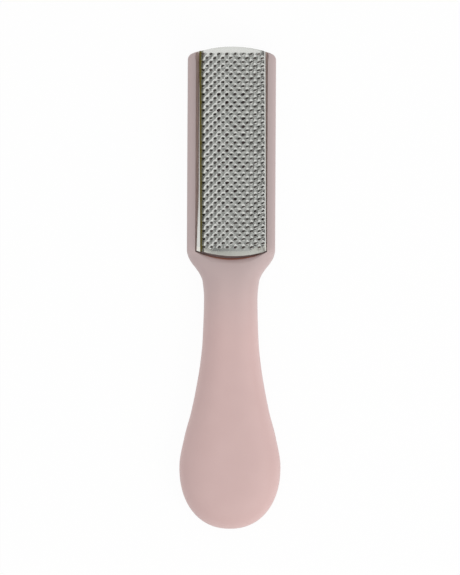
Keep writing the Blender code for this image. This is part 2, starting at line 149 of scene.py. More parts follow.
def spaced(low, high, steps):
    """Evenly spaced places from low up to, but without, high."""
    return [lerp(low, high, k / steps) for k in range(steps)]


def arc_drop(x, radius):
    """How far an arc of that radius has fallen from its crest at x."""
    return radius - math.sqrt(radius * radius - x * x)


def link_object(name, mesh):
    obj = bpy.data.objects.new(name, mesh)
    bpy.context.scene.collection.objects.link(obj)
    return obj


def bridge(bm, rows, around=True):
    """Joins rows of equally many corners with faces, going all the way around or not."""
    for row, after in zip(rows, rows[1:]):
        for k in range(0 if around else 1, len(row)):
            bm.faces.new((row[k - 1], row[k], after[k], after[k - 1]))


def object_from(name, bm, closed=True):
    """Makes an object of a bmesh. A closed body gets doubles merged and faces pointing out."""
    if closed:
        bmesh.ops.remove_doubles(bm, verts=bm.verts, dist=MERGE)
        bmesh.ops.recalc_face_normals(bm, faces=bm.faces)
    mesh = bpy.data.meshes.new(name)
    bm.to_mesh(mesh)
    bm.free()
    return link_object(name, mesh)


print("an arc of 46 mm radius falls", round(arc_drop(16.5, 46.0), 2), "mm over 16.5 mm")

# %% [markdown]
# ## The camera
# The reference picture was taken from straight above, with the tool upright in the frame
# and turned by about a quarter of a degree. A long lens from three metres keeps the raised
# plate from leaning out over the rails, as a long lens does in the picture.

# %% Camera
CAMERA_HEIGHT = 3.0
LENS_PER_METRE = 167.33
FRAME_CENTRE = (-0.3 * MM, 0.2 * MM)
CAMERA_ROLL = math.radians(0.28)

camera_data = bpy.data.cameras.new("camera")
camera_data.lens = LENS_PER_METRE * CAMERA_HEIGHT
camera = bpy.data.objects.new("camera", camera_data)
camera.location = (*FRAME_CENTRE, CAMERA_HEIGHT)
camera.rotation_euler = (0.0, 0.0, CAMERA_ROLL)
bpy.context.scene.collection.objects.link(camera)
bpy.context.scene.camera = camera
print(f"camera: {camera_data.lens:.1f} mm lens, {CAMERA_HEIGHT} m above the floor")

# %% [markdown]
# ## Moulded plastic
# The paddle is ABS, injection-moulded in a dusty pink and left with the satin surface of a
# finely blasted mould. Two things give it away to the eye. Its colour is not quite even,
# because pigment streaks a little as the melt flows. And its gloss is broken up by a fine
# grain, drawn here at 0.35 mm, a little coarser than the real one, so that it shows. Towards
# the head the colour turns greyer and darker, which is painted shade for the dimmer light
# there. One function makes the finish of both mouldings, and of the gap at the neck, whose
# darker red-brown is painted shade.

# %% What both kinds of finish share


def new_finish(name, levels=None):
    """A material, its node tree, and its shader with some plain levels."""
    material = bpy.data.materials.new(name)
    material.use_nodes = True
    shader = material.node_tree.nodes["Principled BSDF"]
    fill_inputs(shader, levels or {})
    return material, material.node_tree, shader


def break_gloss(shader, grain, depth, seen, gloss):
    """Lets one grain vary the roughness between two levels, and dent the surface."""
    tree = shader.id_data
    haze = add_node(tree, "ShaderNodeMapRange", {
        "Value": grain, "From Min": seen[0], "From Max": seen[1],
        "To Min": gloss[0], "To Max": gloss[1],
    })
    bump = add_node(tree, "ShaderNodeBump", {"Height": grain, "Distance": depth, "Strength": 1.0})
    fill_inputs(shader, {"Roughness": haze, "Normal": bump})


# %% ABS finish
ABS_IOR = 1.53
FLOW_MARK_SIZE = 9.0 * MM
MOULD_GRAIN_SIZE = 0.35 * MM
MOULD_GRAIN_DEPTH = 0.004 * MM
SATIN_SPREAD = 0.06
# Painted shade: the colour greys and darkens from here towards the head, for the dimmer light there
HEAD_SHADE_START = -24.0 * MM
HEAD_SHADE_END = 20.0 * MM


def moulded_abs(name, pigment, pale_streak, head_shade_grey, roughness):
    """ABS with faint flow marks in its pigment, painted shade that greys it towards the head, and a
    fine satin grain.
    """
    material, tree, shader = new_finish(name, {"IOR": ABS_IOR})
    where = add_node(tree, "ShaderNodeTexCoord").outputs["Object"]
    flow = add_node(tree, "ShaderNodeTexNoise", {
        "Vector": where, "Scale": 1 / FLOW_MARK_SIZE, "Detail": 3.0, "Roughness": 0.45,
    })
    streaks = add_node(tree, "ShaderNodeMix", data_type="RGBA", inputs={
        "Factor": flow, 6: linear(pigment), 7: linear(pale_streak),
    })
    along = add_node(tree, "ShaderNodeSeparateXYZ", {0: where})
    # Painted shade, greyer and darker towards the head
    head_shade_share = add_node(tree, "ShaderNodeMapRange", interpolation_type="SMOOTHSTEP", inputs={
        "Value": along.outputs["Y"], "From Min": HEAD_SHADE_START, "From Max": HEAD_SHADE_END,
    })
    head_shaded = add_node(tree, "ShaderNodeMix", data_type="RGBA", inputs={
        "Factor": head_shade_share, 6: streaks.outputs[2], 7: linear(head_shade_grey),
    })
    fill_inputs(shader, {"Base Color": head_shaded.outputs[2]})
    grain = add_node(tree, "ShaderNodeTexNoise", {
        "Vector": where, "Scale": 1 / MOULD_GRAIN_SIZE, "Detail": 2.0, "Roughness": 0.6,
    })
    break_gloss(shader, grain, MOULD_GRAIN_DEPTH, (0.0, 1.0),
                (roughness - SATIN_SPREAD, roughness + SATIN_SPREAD))
    return material


# The fourth argument of each is the painted shade's grey towards the head
shell_abs = moulded_abs("satin_moulded_abs_pink", "#cfb0ad", "#d5b7b4", "#c0aead", 0.42)
cover_abs = moulded_abs("fine_matt_moulded_abs_pink", "#c8aaa6", "#ceb1ad", "#c1aead", 0.5)
# Darker red-brown for the deep gap at the neck: painted shade, not a colour of the plastic
gap_shade_abs = moulded_abs("pink_abs_with_packed_skin_dust", "#a2705e", "#aa7866", "#a2705e", 0.6)
print("plastics:", ", ".join(finish.name for finish in (shell_abs, cover_abs, gap_shade_abs)))

# %% [markdown]
# ## Nickel-plated steel
# The plate is punched from cold-rolled steel sheet, bent, and then nickel-plated. Plating
# keeps the shine but follows every small dent that the punch left, so the reflections are
# broken and the plate glitters. Dents of about half a millimetre do that, with a haze in
# the roughness. Some places get a finish of their own: dark olive brown in the tight bend
# on the left, dull with dust down in the grooves, a darker grey beside the bend, and pale at
# the neck end, where the paler colour is a painted reflection of brighter surroundings.

# %% Steel finishes
PUNCH_DENT_SIZE = 0.5 * MM
PUNCH_DENT_DEPTH = 0.02 * MM
DENTS_SEEN = (0.3, 0.7)
HAZE_SPREAD = (-0.06, 0.08)


def plated_steel(name, colour, hazy_colour, roughness):
    """Plated sheet whose small dents break up the reflections."""
    material, tree, shader = new_finish(name, {"Metallic": 1.0})
    where = add_node(tree, "ShaderNodeTexCoord").outputs["Object"]
    dents = add_node(tree, "ShaderNodeTexNoise", {
        "Vector": where, "Scale": 1 / PUNCH_DENT_SIZE, "Detail": 3.0, "Roughness": 0.55,
    })
    tone = add_node(tree, "ShaderNodeMix", data_type="RGBA", inputs={
        "Factor": dents, 6: linear(colour), 7: linear(hazy_colour),
    })
    fill_inputs(shader, {"Base Color": tone.outputs[2]})
    break_gloss(shader, dents, PUNCH_DENT_DEPTH, DENTS_SEEN,
                [roughness + spread for spread in HAZE_SPREAD])
    return material


BRIGHT, OLIVE_BEND, DUSTY, GREY_BESIDE_BEND, PALE_REFLECTION = range(5)
steels = [plated_steel(*look) for look in (
    ("nickel_plated_punched_steel", "#d0d1cd", "#e0e1dd", 0.22),
    # Dark olive for the tight left bend, and below it a darker grey for the strip beside it
    ("thin_nickel_with_oil_tint", "#4b4420", "#6c6230", 0.34),
    ("dull_steel_with_skin_dust", "#ceb9b1", "#dfcbc3", 0.6),
    ("nickel_under_grey_oil_film", "#75766c", "#8f9086", 0.4),
    # Paler nickel for the neck end: a painted reflection of brighter surroundings
    ("nickel_rubbed_by_dust", "#efefe6", "#fafaf3", 0.42),
)]
print("steels:", ", ".join(finish.name for finish in steels))

# %% [markdown]
# ## The outline of the paddle
# Seen from above, the paddle is a long head with a gently curved end, concave shoulders, a
# narrow neck and a pear-shaped belly. Each stretch is a curve with a few chosen points: an
# arc at the head's end, two smooth curves for the sides, and a superellipse round the
# belly. A superellipse is a circle whose power isn't 2, and here 2.2 makes it a touch fuller.

# %% Half the width, from end to end
HEAD_LENGTH = 76.0 * MM
HEAD_HALF_WIDTH = 16.5 * MM
SHOULDER_LENGTH = 18.0 * MM
NECK_HALF_WIDTH = 10.0 * MM
BELLY_END_LENGTH = 23.2 * MM
BELLY_HALF_WIDTH = shell_high.x
SHOULDER_SHARES = [
    (0.0, 0.0), (0.13, 0.08), (0.25, 0.26), (0.38, 0.54), (0.5, 0.76), (0.63, 0.905), (1.0, 1.0),
]
BELLY_SHARES = [
    (0.0, 0.0), (0.25, 0.053), (0.39, 0.151), (0.535, 0.316), (0.68, 0.527), (0.82, 0.79),
    (1.0, 1.0),
]
TIP_Y = shell_high.y
SHOULDER_Y = TIP_Y - HEAD_LENGTH
NECK_Y = SHOULDER_Y - SHOULDER_LENGTH
BELLY_Y = shell_low.y + BELLY_END_LENGTH


def through(points, share):
    """Follows a smooth curve through (share, height) points, without overshoot."""
    steps = [(b[1] - a[1]) / (b[0] - a[0]) for a, b in zip(points, points[1:])]
    slopes = [0.0]
    for before, after in zip(steps, steps[1:]):
        slopes.append(2 * before * after / (before + after) if before * after > 0 else 0.0)
    slopes.append(0.0)
    k = max(i for i in range(len(steps)) if share >= points[i][0] or i == 0)
    width = points[k + 1][0] - points[k][0]
    t = min(max((share - points[k][0]) / width, 0.0), 1.0)
    rise = smooth(t) * (points[k + 1][1] - points[k][1])
    return points[k][1] + rise + t * (1 - t) * width * ((1 - t) * slopes[k] - t * slopes[k + 1])


def half_width(y):
    """Half the paddle's width at y, below the head's end."""
    if y >= SHOULDER_Y:
        return HEAD_HALF_WIDTH
    if y >= NECK_Y:
        share = through(SHOULDER_SHARES, (SHOULDER_Y - y) / SHOULDER_LENGTH)
        return lerp(HEAD_HALF_WIDTH, NECK_HALF_WIDTH, share)
    share = through(BELLY_SHARES, (NECK_Y - y) / (NECK_Y - BELLY_Y))
    return lerp(NECK_HALF_WIDTH, BELLY_HALF_WIDTH, share)


print("half width at head and neck:", HEAD_HALF_WIDTH, "m and", half_width(NECK_Y), "m")

# %% The whole outline
HEAD_END_RADIUS = 46.0 * MM
HEAD_CORNER_RADIUS = 2.6 * MM
BELLY_END_POWER = 2.2
BLEND_LENGTH = 4.0 * MM
BELLY_STEPS, HANDLE_STEPS, SHOULDER_STEPS = 40, 48, 36
BLEND_STEPS, HEAD_SIDE_STEPS, HEAD_END_STEPS = 8, 11, 12


def belly_end(inset):
    """The superellipse round the belly, from its tip to its widest place."""
    points = []
    for angle in spaced(0.0, math.pi / 2, BELLY_STEPS):
        across = (BELLY_HALF_WIDTH - inset) * math.sin(angle) ** (2 / BELLY_END_POWER)
        along = (BELLY_END_LENGTH - inset) * math.cos(angle) ** (2 / BELLY_END_POWER)
        points.append((across, BELLY_Y - along))
    return points


def side_point(y, inset):
    """A point of the side, moved in by the inset at right angles to the outline."""
    slope = (half_width(y + MERGE) - half_width(y - MERGE)) / (2 * MERGE)
    return (half_width(y) - inset * math.hypot(1.0, slope), y)


def head_end(inset):
    """The rounded corner and the end arc of the head, up to the centre line."""
    radius = HEAD_END_RADIUS - inset
    corner = max(HEAD_CORNER_RADIUS - inset, HEAD_CORNER_RADIUS / 4)
    arc_y = TIP_Y - HEAD_END_RADIUS
    corner_x = HEAD_HALF_WIDTH - inset - corner
    rise = math.sqrt((radius - corner) ** 2 - corner_x**2)
    turn = math.atan2(rise, corner_x)
    points = []
    for angle in spaced(0.0, turn, HEAD_END_STEPS):
        across, along = corner * math.cos(angle), corner * math.sin(angle)
        points.append((corner_x + across, arc_y + rise + along))
    for angle in spaced(turn, math.pi / 2, HEAD_END_STEPS):
        points.append((radius * math.cos(angle), arc_y + radius * math.sin(angle)))
    return points + [(0.0, arc_y + radius)]


def outline(inset, top_y=None):
    """The whole outline, counterclockwise from the belly's tip, or cut straight at top_y."""
    places = spaced(BELLY_Y, NECK_Y, HANDLE_STEPS) + spaced(NECK_Y, SHOULDER_Y, SHOULDER_STEPS)
    if top_y is None:
        end = head_end(inset)
        blend_y = SHOULDER_Y + BLEND_LENGTH
        places += spaced(SHOULDER_Y, blend_y, BLEND_STEPS)
        places += spaced(blend_y, end[0][1], HEAD_SIDE_STEPS)
    else:
        places = [y for y in places if y < top_y - MM]
        end = [side_point(top_y, inset), (0.0, top_y)]
    right = belly_end(inset) + [side_point(y, inset) for y in places] + end
    return right + [(-x, y) for x, y in reversed(right[1:-1])]


print(f"outline: {len(outline(0.0))} points round {TIP_Y - shell_low.y:.3f} m of paddle")

# %% [markdown]
# ## The body of the front shell
# The paddle's cross-section changes along its length: square rails at the head, a soft
# crown at the neck and belly. So the body is built as rings stacked from the flat back to
# the crest. Each outline point gets one column of corners, drawn in towards a spine along
# the middle, and the section function says how far in and how high each corner lies.

# %% Section of the body
BACK_EDGE_RADIUS = 2.5 * MM
FLAT_BACK_SHARE = 0.8
RAIL_HEIGHT = 7.5 * MM
WALL_CREST_HEIGHT = 8.6 * MM
NECK_CREST_HEIGHT = 10.4 * MM
BELLY_CREST_HEIGHT = 11.2 * MM
HEAD_ROUNDING_POWER = 14.0
HANDLE_FACE_POWER = 3.2
HANDLE_RIM_POWER = 2.1
WALL_Y = plate_low.y - 0.75 * MM
BACK_EDGE_STEPS, CROWN_STEPS = 6, 24


def crest_height(y):
    """Height of the centre line, which dips at the neck under the thumb."""
    if y >= NECK_Y:
        return lerp(NECK_CREST_HEIGHT, WALL_CREST_HEIGHT, smooth((y - NECK_Y) / (WALL_Y - NECK_Y)))
    return lerp(NECK_CREST_HEIGHT, BELLY_CREST_HEIGHT, smooth((NECK_Y - y) / (NECK_Y - BELLY_Y)))


def quarter(angle, side_power, top_power):
    """A quarter of a superellipse, as the share kept across and the share risen."""
    return math.cos(angle) ** (2 / side_power), math.sin(angle) ** (2 / top_power)


def body_section(reach, y):
    """Flat back, rounded back edge, then a square-topped head that turns into a crown."""
    rings = [(0.0, 0.0), (FLAT_BACK_SHARE, 0.0)]
    for angle in spaced(0.0, math.pi / 2, BACK_EDGE_STEPS) + [math.pi / 2]:
        pulled = BACK_EDGE_RADIUS * (1 - math.sin(angle))
        rings.append((1 - pulled / reach, BACK_EDGE_RADIUS * (1 - math.cos(angle))))
    crowned = smooth((WALL_Y + BLEND_LENGTH - y) / BLEND_LENGTH)
    for angle in spaced(0.0, math.pi / 2, CROWN_STEPS)[1:]:
        square = quarter(angle, HEAD_ROUNDING_POWER, HEAD_ROUNDING_POWER)
        crown = quarter(angle, HANDLE_FACE_POWER, HANDLE_RIM_POWER)
        square_z = lerp(BACK_EDGE_RADIUS, RAIL_HEIGHT, square[1])
        crown_z = lerp(BACK_EDGE_RADIUS, crest_height(y), crown[1])
        rings.append((lerp(square[0], crown[0], crowned), lerp(square_z, crown_z, crowned)))
    return rings + [(0.0, lerp(RAIL_HEIGHT, crest_height(y), crowned))]


for place, y in (("belly", BELLY_Y), ("neck", NECK_Y)):
    print(f"crest at the {place}: {crest_height(y) / MM:.1f} mm")

# %% Stacked rings


def stacked_rings(name, loop, spine, section):
    """A closed body of rings, drawn in towards a spine from spine[0] to spine[1]."""
    bm = bmesh.new()
    columns = []
    for x, y in loop:
        hub = min(max(y, spine[0]), spine[1])
        kept = section(math.hypot(x, y - hub), y)
        columns.append([bm.verts.new((x * share, lerp(hub, y, share), z)) for share, z in kept])
    bridge(bm, columns + columns[:1], around=False)
    bmesh.ops.remove_doubles(bm, verts=bm.verts, dist=MERGE)
    bmesh.ops.dissolve_degenerate(bm, edges=bm.edges, dist=MERGE)
    return object_from(name, bm)


head_spine_y = TIP_Y - HEAD_HALF_WIDTH
front_shell = stacked_rings("front_shell", outline(0.0), (BELLY_Y, head_spine_y), body_section)
print("front shell body:", len(front_shell.data.polygons), "faces before its cuts")

# %% [markdown]
# ## Cuts in the front shell
# What is taken out of a moulding is easiest to build as its own solid and to subtract with
# a Boolean: the channel for the plate, the grooves for its feet, the dust pocket, the
# hollow of the handle, the seat of the back cover and the sockets of its pins. The bed and
# the pin bosses are added the same way. All go on one stack of modifiers, which is then
# turned into a plain mesh, so the cutters can be thrown away.

# %% Blocks, prisms and posts
SLAB_STEPS = 32
POST_SIDES = 32
POST_TURN = math.radians(4)


def slab(name, half_span, centre, ends, low, high):
    """A block across x whose ends along y, floor and roof are functions of x."""
    bm = bmesh.new()
    rows = []
    for angle in spaced(-math.pi / 2, math.pi / 2, SLAB_STEPS) + [math.pi / 2]:
        x = centre + half_span * math.sin(angle)
        near, far = ends[0](x), ends[1](x)
        corners = [(near, low(x)), (far, low(x)), (far, high(x)), (near, high(x))]
        rows.append([bm.verts.new((x, y, z)) for y, z in corners])
    for row, after in zip(rows, rows[1:]):
        for k in range(4):
            bm.faces.new((row[k], row[k - 1], after[k - 1], after[k]))
    bm.faces.new(rows[0])
    bm.faces.new(rows[-1])
    return object_from(name, bm)


def prism(name, loops):
    """Loops of equally many points, stacked and capped."""
    bm = bmesh.new()
    rings = [[bm.verts.new(point) for point in loop] for loop in loops]
    bridge(bm, rings)
    bm.faces.new(rings[0])
    bm.faces.new(rings[-1])
    return object_from(name, bm)


def posts(name, places, radius, low, top_at):
    """Upright round posts at (x, y) places, up to a height that is a function of y."""
    bm = bmesh.new()
    for x, y in places:
        depth = top_at(y) - low
        place = Matrix.Translation((x, y, low + depth / 2)) @ Matrix.Rotation(POST_TURN, 4, "Z")
        bmesh.ops.create_cone(bm, cap_ends=True, segments=POST_SIDES,
                              radius1=radius, radius2=radius, depth=depth, matrix=place)
    return object_from(name, bm)


print("a block has", SLAB_STEPS, "steps across, and a post", POST_SIDES, "sides")

# %% Booleans, then a plain mesh
MOULDING_SHARP_ANGLE = math.radians(35)


def finish_shape(obj, tools, *finishes):
    """Adds and cuts with each (tool, operation), then leaves a plain, smoothly shaded mesh."""
    for tool, operation in tools:
        modifier = obj.modifiers.new(tool.name, "BOOLEAN")
        modifier.operation = operation
        modifier.solver = "EXACT"
        modifier.object = tool
    evaluated = obj.evaluated_get(bpy.context.evaluated_depsgraph_get())
    mesh = bpy.data.meshes.new_from_object(evaluated)
    obj.modifiers.clear()
    obj.data = mesh
    mesh.name = obj.name
    mesh.shade_smooth()
    mesh.set_sharp_from_angle(angle=MOULDING_SHARP_ANGLE)
    mesh.materials.clear()
    for finish in finishes:
        mesh.materials.append(finish)
    for tool, operation in tools:
        bpy.data.objects.remove(tool)


print("moulded edges turn sharp at", round(math.degrees(MOULDING_SHARP_ANGLE)), "degrees")

# %% [markdown]
# ## The channel, with its softened edge
# A mould leaves no knife edge: the top of the channel's walls is rounded by a few tenths of
# a millimetre, and that rounding catches the thin light line along the rails. At the neck
# the rounding grows towards the middle, so that a crescent of shade lies before the plate.
# A Bevel modifier would stumble over the crossing facets of the wall, so the cutter itself
# flares out where it leaves the plastic. Its height there is found by dropping rays.

# %% The neck wall and its lip
OVERRUN = 1.0 * MM
CHANNEL_HALF_WIDTH = 13.3 * MM
WALL_END_RADIUS = 38.0 * MM
LIP_RADIUS = 0.2 * MM
WALL_LIP_LENGTH = 3.4 * MM
WALL_LIP_FALL = 1.7 * MM
WALL_LIP_POWER = 1.2
WALL_STEPS, CHANNEL_SIDE_STEPS = 60, 24


def neck_wall(x):
    """The curved wall that closes the channel at the handle's end."""
    return WALL_Y + arc_drop(x, WALL_END_RADIUS)


def past_tip(x):
    return TIP_Y + OVERRUN


def wall_share(x):
    """1 at the middle of the neck wall, falling to 0 at its corners."""
    return math.cos(math.pi / 2 * min(abs(x) / CHANNEL_HALF_WIDTH, 1.0)) ** WALL_LIP_POWER


def wall_lip_length(x):
    return lerp(LIP_RADIUS, WALL_LIP_LENGTH, wall_share(x))


def channel_loop(share, beyond=0.0):
    """The channel's outline with a share of its lip opened, as (x, y, lip height) places."""
    across = CHANNEL_HALF_WIDTH + share * LIP_RADIUS + beyond
    loop = []
    for x in spaced(-across, across, WALL_STEPS) + [across]:
        opened = share * wall_lip_length(x) + beyond
        loop.append((x, neck_wall(x) - opened, lerp(LIP_RADIUS, WALL_LIP_FALL, wall_share(x))))
    sides = spaced(loop[-1][1], past_tip(across), CHANNEL_SIDE_STEPS)[1:] + [past_tip(across)]
    loop += [(across, y, LIP_RADIUS) for y in sides]
    return loop + [(-across, y, LIP_RADIUS) for y in reversed(sides)]


print(f"lip: {LIP_RADIUS / MM:.1f} mm at the rails, {wall_lip_length(0.0) / MM:.1f} mm at the neck")

# %% Channel cutter
PLATE_CREST_HEIGHT = 12.5 * MM
CHANNEL_FLOOR = 5.0 * MM
LIP_ANGLES = [math.radians(angle) for angle in (0, 12, 24, 36, 48, 60, 72, 82)]
RAY_START = 1.0

body_tree = BVHTree.FromObject(front_shell, bpy.context.evaluated_depsgraph_get())


def top_of_body(x, y):
    """Height of the body's upper side at a place, or the rails' height beyond the tip."""
    hit = body_tree.ray_cast(Vector((x, y, RAY_START)), Vector((0.0, 0.0, -1.0)))[0]
    return hit.z if hit else RAIL_HEIGHT


edge_heights = [top_of_body(x, y) for x, y, fall in channel_loop(1.0)]
channel_loops = [[(x, y, CHANNEL_FLOOR) for x, y, fall in channel_loop(0.0)]]
for angle in LIP_ANGLES:
    opened = channel_loop(1 - math.cos(angle))
    sunk = 1 - math.sin(angle)
    channel_loops.append([(x, y, z - sunk * fall) for (x, y, fall), z in zip(opened, edge_heights)])
clear = channel_loop(1.0, LIP_RADIUS)
channel_loops.append([(x, y, z + LIP_RADIUS) for (x, y, fall), z in zip(clear, edge_heights)])
channel_loops.append([(x, y, PLATE_CREST_HEIGHT + OVERRUN) for x, y, fall in clear])
channel_cut = prism("channel_cut", channel_loops)
print(f"channel: wall up to {max(edge_heights) / MM:.2f} mm, rails {min(edge_heights) / MM:.2f} mm")

# %% Bed, grooves and dust pocket
SHEET = 0.5 * MM
BED_HALF_WIDTH = 9.5 * MM
BED_CLEARANCE = 0.8 * MM
BED_SETBACK = 0.6 * MM
BED_NECK_MARGIN = 1.3 * MM
PLATE_ARCH_RADIUS = 28.0 * MM
FLANGE_HALF_WIDTH = 12.95 * MM
FOOT_HALF_WIDTH = 14.3 * MM
FOOT_HEIGHT = 6.4 * MM
RUNNING_CLEARANCE = 0.35 * MM
SLOT_CLEARANCE = 0.3 * MM
POCKET_HALF_WIDTH = 6.0 * MM
POCKET_LENGTH = 49.0 * MM
POCKET_LOW_Y = WALL_Y + 19.0 * MM
COVER_THICKNESS = 2.0 * MM
SEAT_GAP = 0.3 * MM
SEAT_HEIGHT = COVER_THICKNESS + SEAT_GAP


def groove_cut(side):
    """The undercut in one rail that the plate's foot runs in."""
    inner = FLANGE_HALF_WIDTH - SHEET
    outer = FOOT_HALF_WIDTH + RUNNING_CLEARANCE
    return slab("groove_cut", (outer - inner) / 2, side * (outer + inner) / 2,
                (neck_wall, past_tip), lambda x: FOOT_HEIGHT - SHEET - SLOT_CLEARANCE,
                lambda x: FOOT_HEIGHT + SLOT_CLEARANCE)


bed_block = slab(
    "bed_block", BED_HALF_WIDTH, 0.0,
    (lambda x: neck_wall(x) + BED_NECK_MARGIN,
     lambda x: TIP_Y - BED_SETBACK - arc_drop(x, HEAD_END_RADIUS)),
    lambda x: CHANNEL_FLOOR - OVERRUN,
    lambda x: PLATE_CREST_HEIGHT - SHEET - BED_CLEARANCE - arc_drop(x, PLATE_ARCH_RADIUS),
)
pocket_cut = slab(
    "pocket_cut", POCKET_HALF_WIDTH, 0.0,
    (lambda x: POCKET_LOW_Y + arc_drop(x, POCKET_HALF_WIDTH),
     lambda x: POCKET_LOW_Y + POCKET_LENGTH - arc_drop(x, POCKET_HALF_WIDTH)),
    lambda x: SEAT_HEIGHT - OVERRUN, lambda x: PLATE_CREST_HEIGHT + OVERRUN,
)
print(f"dust pocket: {POCKET_LENGTH:.3f} m long, from y = {POCKET_LOW_Y:.4f} m")

# %% Seat, hollow, bosses and sockets
RIM_WIDTH = 3.1 * MM
LEDGE_WIDTH = 1.5 * MM
ROOF_THICKNESS = 2.0 * MM
PIN_RADIUS = 1.5 * MM
BOSS_RADIUS = 3.0 * MM
HANDLE_PIN_LENGTH = 5.0 * MM
HEAD_PIN_LENGTH = 2.8 * MM
HEAD_PIN_SIDE_WALL = 0.9 * MM
HEAD_PIN_X = BED_HALF_WIDTH - HEAD_PIN_SIDE_WALL - PIN_RADIUS - SEAT_GAP
HEAD_PIN_END_MARGIN = 6.0 * MM
HOLLOW_TOP_Y = WALL_Y - 12.0 * MM
HANDLE_PIN_SHARES = [0.12, 0.5, 0.9]
HOLLOW_STEPS = 12

handle_pins = [(0.0, lerp(HOLLOW_TOP_Y, BELLY_Y, share)) for share in HANDLE_PIN_SHARES]
head_pins = [(x, y) for x in (-HEAD_PIN_X, HEAD_PIN_X)
             for y in (TIP_Y - HEAD_PIN_END_MARGIN, WALL_Y + HEAD_PIN_END_MARGIN)]
pin_sets = ((handle_pins, HANDLE_PIN_LENGTH), (head_pins, HEAD_PIN_LENGTH))


def hollow_section(reach, y):
    """The handle's hollow: straight sides, and a roof that follows the crown."""
    roof = crest_height(y) - ROOF_THICKNESS
    rings = [(0.0, SEAT_HEIGHT - OVERRUN), (1.0, SEAT_HEIGHT - OVERRUN)]
    for angle in spaced(0.0, math.pi / 2, HOLLOW_STEPS):
        share, rise = quarter(angle, HANDLE_FACE_POWER, HANDLE_RIM_POWER)
        rings.append((share, lerp(SEAT_HEIGHT, roof, rise)))
    return rings + [(0.0, roof)]


seat_loop = outline(RIM_WIDTH)
seat_cut = prism("seat_cut", [[(x, y, z) for x, y in seat_loop] for z in (-OVERRUN, SEAT_HEIGHT)])
hollow_cut = stacked_rings("hollow_cut", outline(RIM_WIDTH + LEDGE_WIDTH, HOLLOW_TOP_Y),
                           (BELLY_Y, HOLLOW_TOP_Y - NECK_HALF_WIDTH / 2), hollow_section)
bosses = posts("bosses", handle_pins, BOSS_RADIUS, SEAT_HEIGHT,
               lambda y: crest_height(y) - ROOF_THICKNESS / 2)
sockets = [posts("sockets", places, PIN_RADIUS + SEAT_GAP, SEAT_HEIGHT - OVERRUN,
                 lambda y: SEAT_HEIGHT + length) for places, length in pin_sets]
# The hollow's cutter leaves the bosses standing
finish_shape(hollow_cut, [(bosses, "DIFFERENCE")])
print("sockets for", len(handle_pins), "pins in the handle and", len(head_pins), "in the head")

# %% Cut the shell, and paint shade into the gap at the neck
# How far up the wall's lip the painted shade reaches
GAP_SHADE_LIP_SHARE = 0.2

finish_shape(front_shell, [
    (seat_cut, "DIFFERENCE"), (hollow_cut, "DIFFERENCE"), (channel_cut, "DIFFERENCE"),
    (bed_block, "UNION"), (groove_cut(-1), "DIFFERENCE"), (groove_cut(1), "DIFFERENCE"),
    (pocket_cut, "DIFFERENCE"),
    *((socket, "DIFFERENCE") for socket in sockets),
], shell_abs, gap_shade_abs)
# Faces in the gap before the plate's neck end get the darker red-brown: painted shade for the gap
# under the plate
for face in front_shell.data.polygons:
    x, y, z = face.center
    from_wall = y - neck_wall(x)
    in_gap = -GAP_SHADE_LIP_SHARE * wall_lip_length(x) < from_wall < BED_NECK_MARGIN + MERGE
    face.material_index = int(in_gap and abs(x) < CHANNEL_HALF_WIDTH and z > CHANNEL_FLOOR - MERGE)
print("front shell:", len(front_shell.data.polygons), "faces")

# %% [markdown]
# ## The back cover
# A flat moulding closes the back. Its outer edge is rounded a little, as every moulded edge
# is, by drawing its outline in over the last tenths of a millimetre. Its pins go up into
# the sockets of the front shell.

# %% Back cover
COVER_EDGE = 0.3 * MM
COVER_EDGE_MIDDLE = 0.3 * COVER_EDGE

cover_inset = RIM_WIDTH + SEAT_GAP
back_cover = prism("back_cover", [
    [(x, y, z) for x, y in outline(cover_inset + drawn_in)] for drawn_in, z in (
        (COVER_EDGE, 0.0), (COVER_EDGE_MIDDLE, COVER_EDGE_MIDDLE),
        (0.0, COVER_EDGE), (0.0, COVER_THICKNESS),
    )
])
finish_shape(back_cover, [
    (posts("pins", places, PIN_RADIUS, COVER_THICKNESS / 2,
           lambda y: COVER_THICKNESS + length), "UNION")
    for places, length in pin_sets
], cover_abs)
print("back cover:", len(back_cover.data.polygons), "faces")

# %% [markdown]
# ## One tooth
# A punch comes up through the sheet, tears it open and leaves a small crater with a sharp
# rim. The craters stand so close that no flat sheet is left between them, so a tooth is
# modelled together with its diamond of sheet. Rings of eight corners lead from the flat
# diamond up over the rim, down the slanting oval hole and along the underside. That is 48
# faces: few enough to repeat almost four hundred times. A few strokes tear the sheet wider
# open, so there is a second tooth with the same rim, and steep walls round a larger hole.

# %% Tooth tiles
TOOTH_PITCH = 3.0 * MM
TOOTH_HEIGHT = 0.07 * MM
TOOTH_SIDES = 8
# Reach to the east, north-east, north and north-west, and height, all in millimetres, or
# None for the diamond's edge
RIM_RINGS = [
    (None, 0.0),
    ((1.16, 0.9, 1.16, 0.9), 0.0),
    ((0.82, 0.78, 0.64, 0.62), TOOTH_HEIGHT / MM),
    ((0.74, 0.71, 0.56, 0.54), TOOTH_HEIGHT / MM),
]
HOLE_RINGS = [((0.55, 0.5, 0.28, 0.26), -0.2), ((0.64, 0.58, 0.42, 0.4), -0.4)]
TORN_RINGS = [((0.7, 0.66, 0.5, 0.48), -0.2), ((0.74, 0.69, 0.54, 0.52), -0.4)]


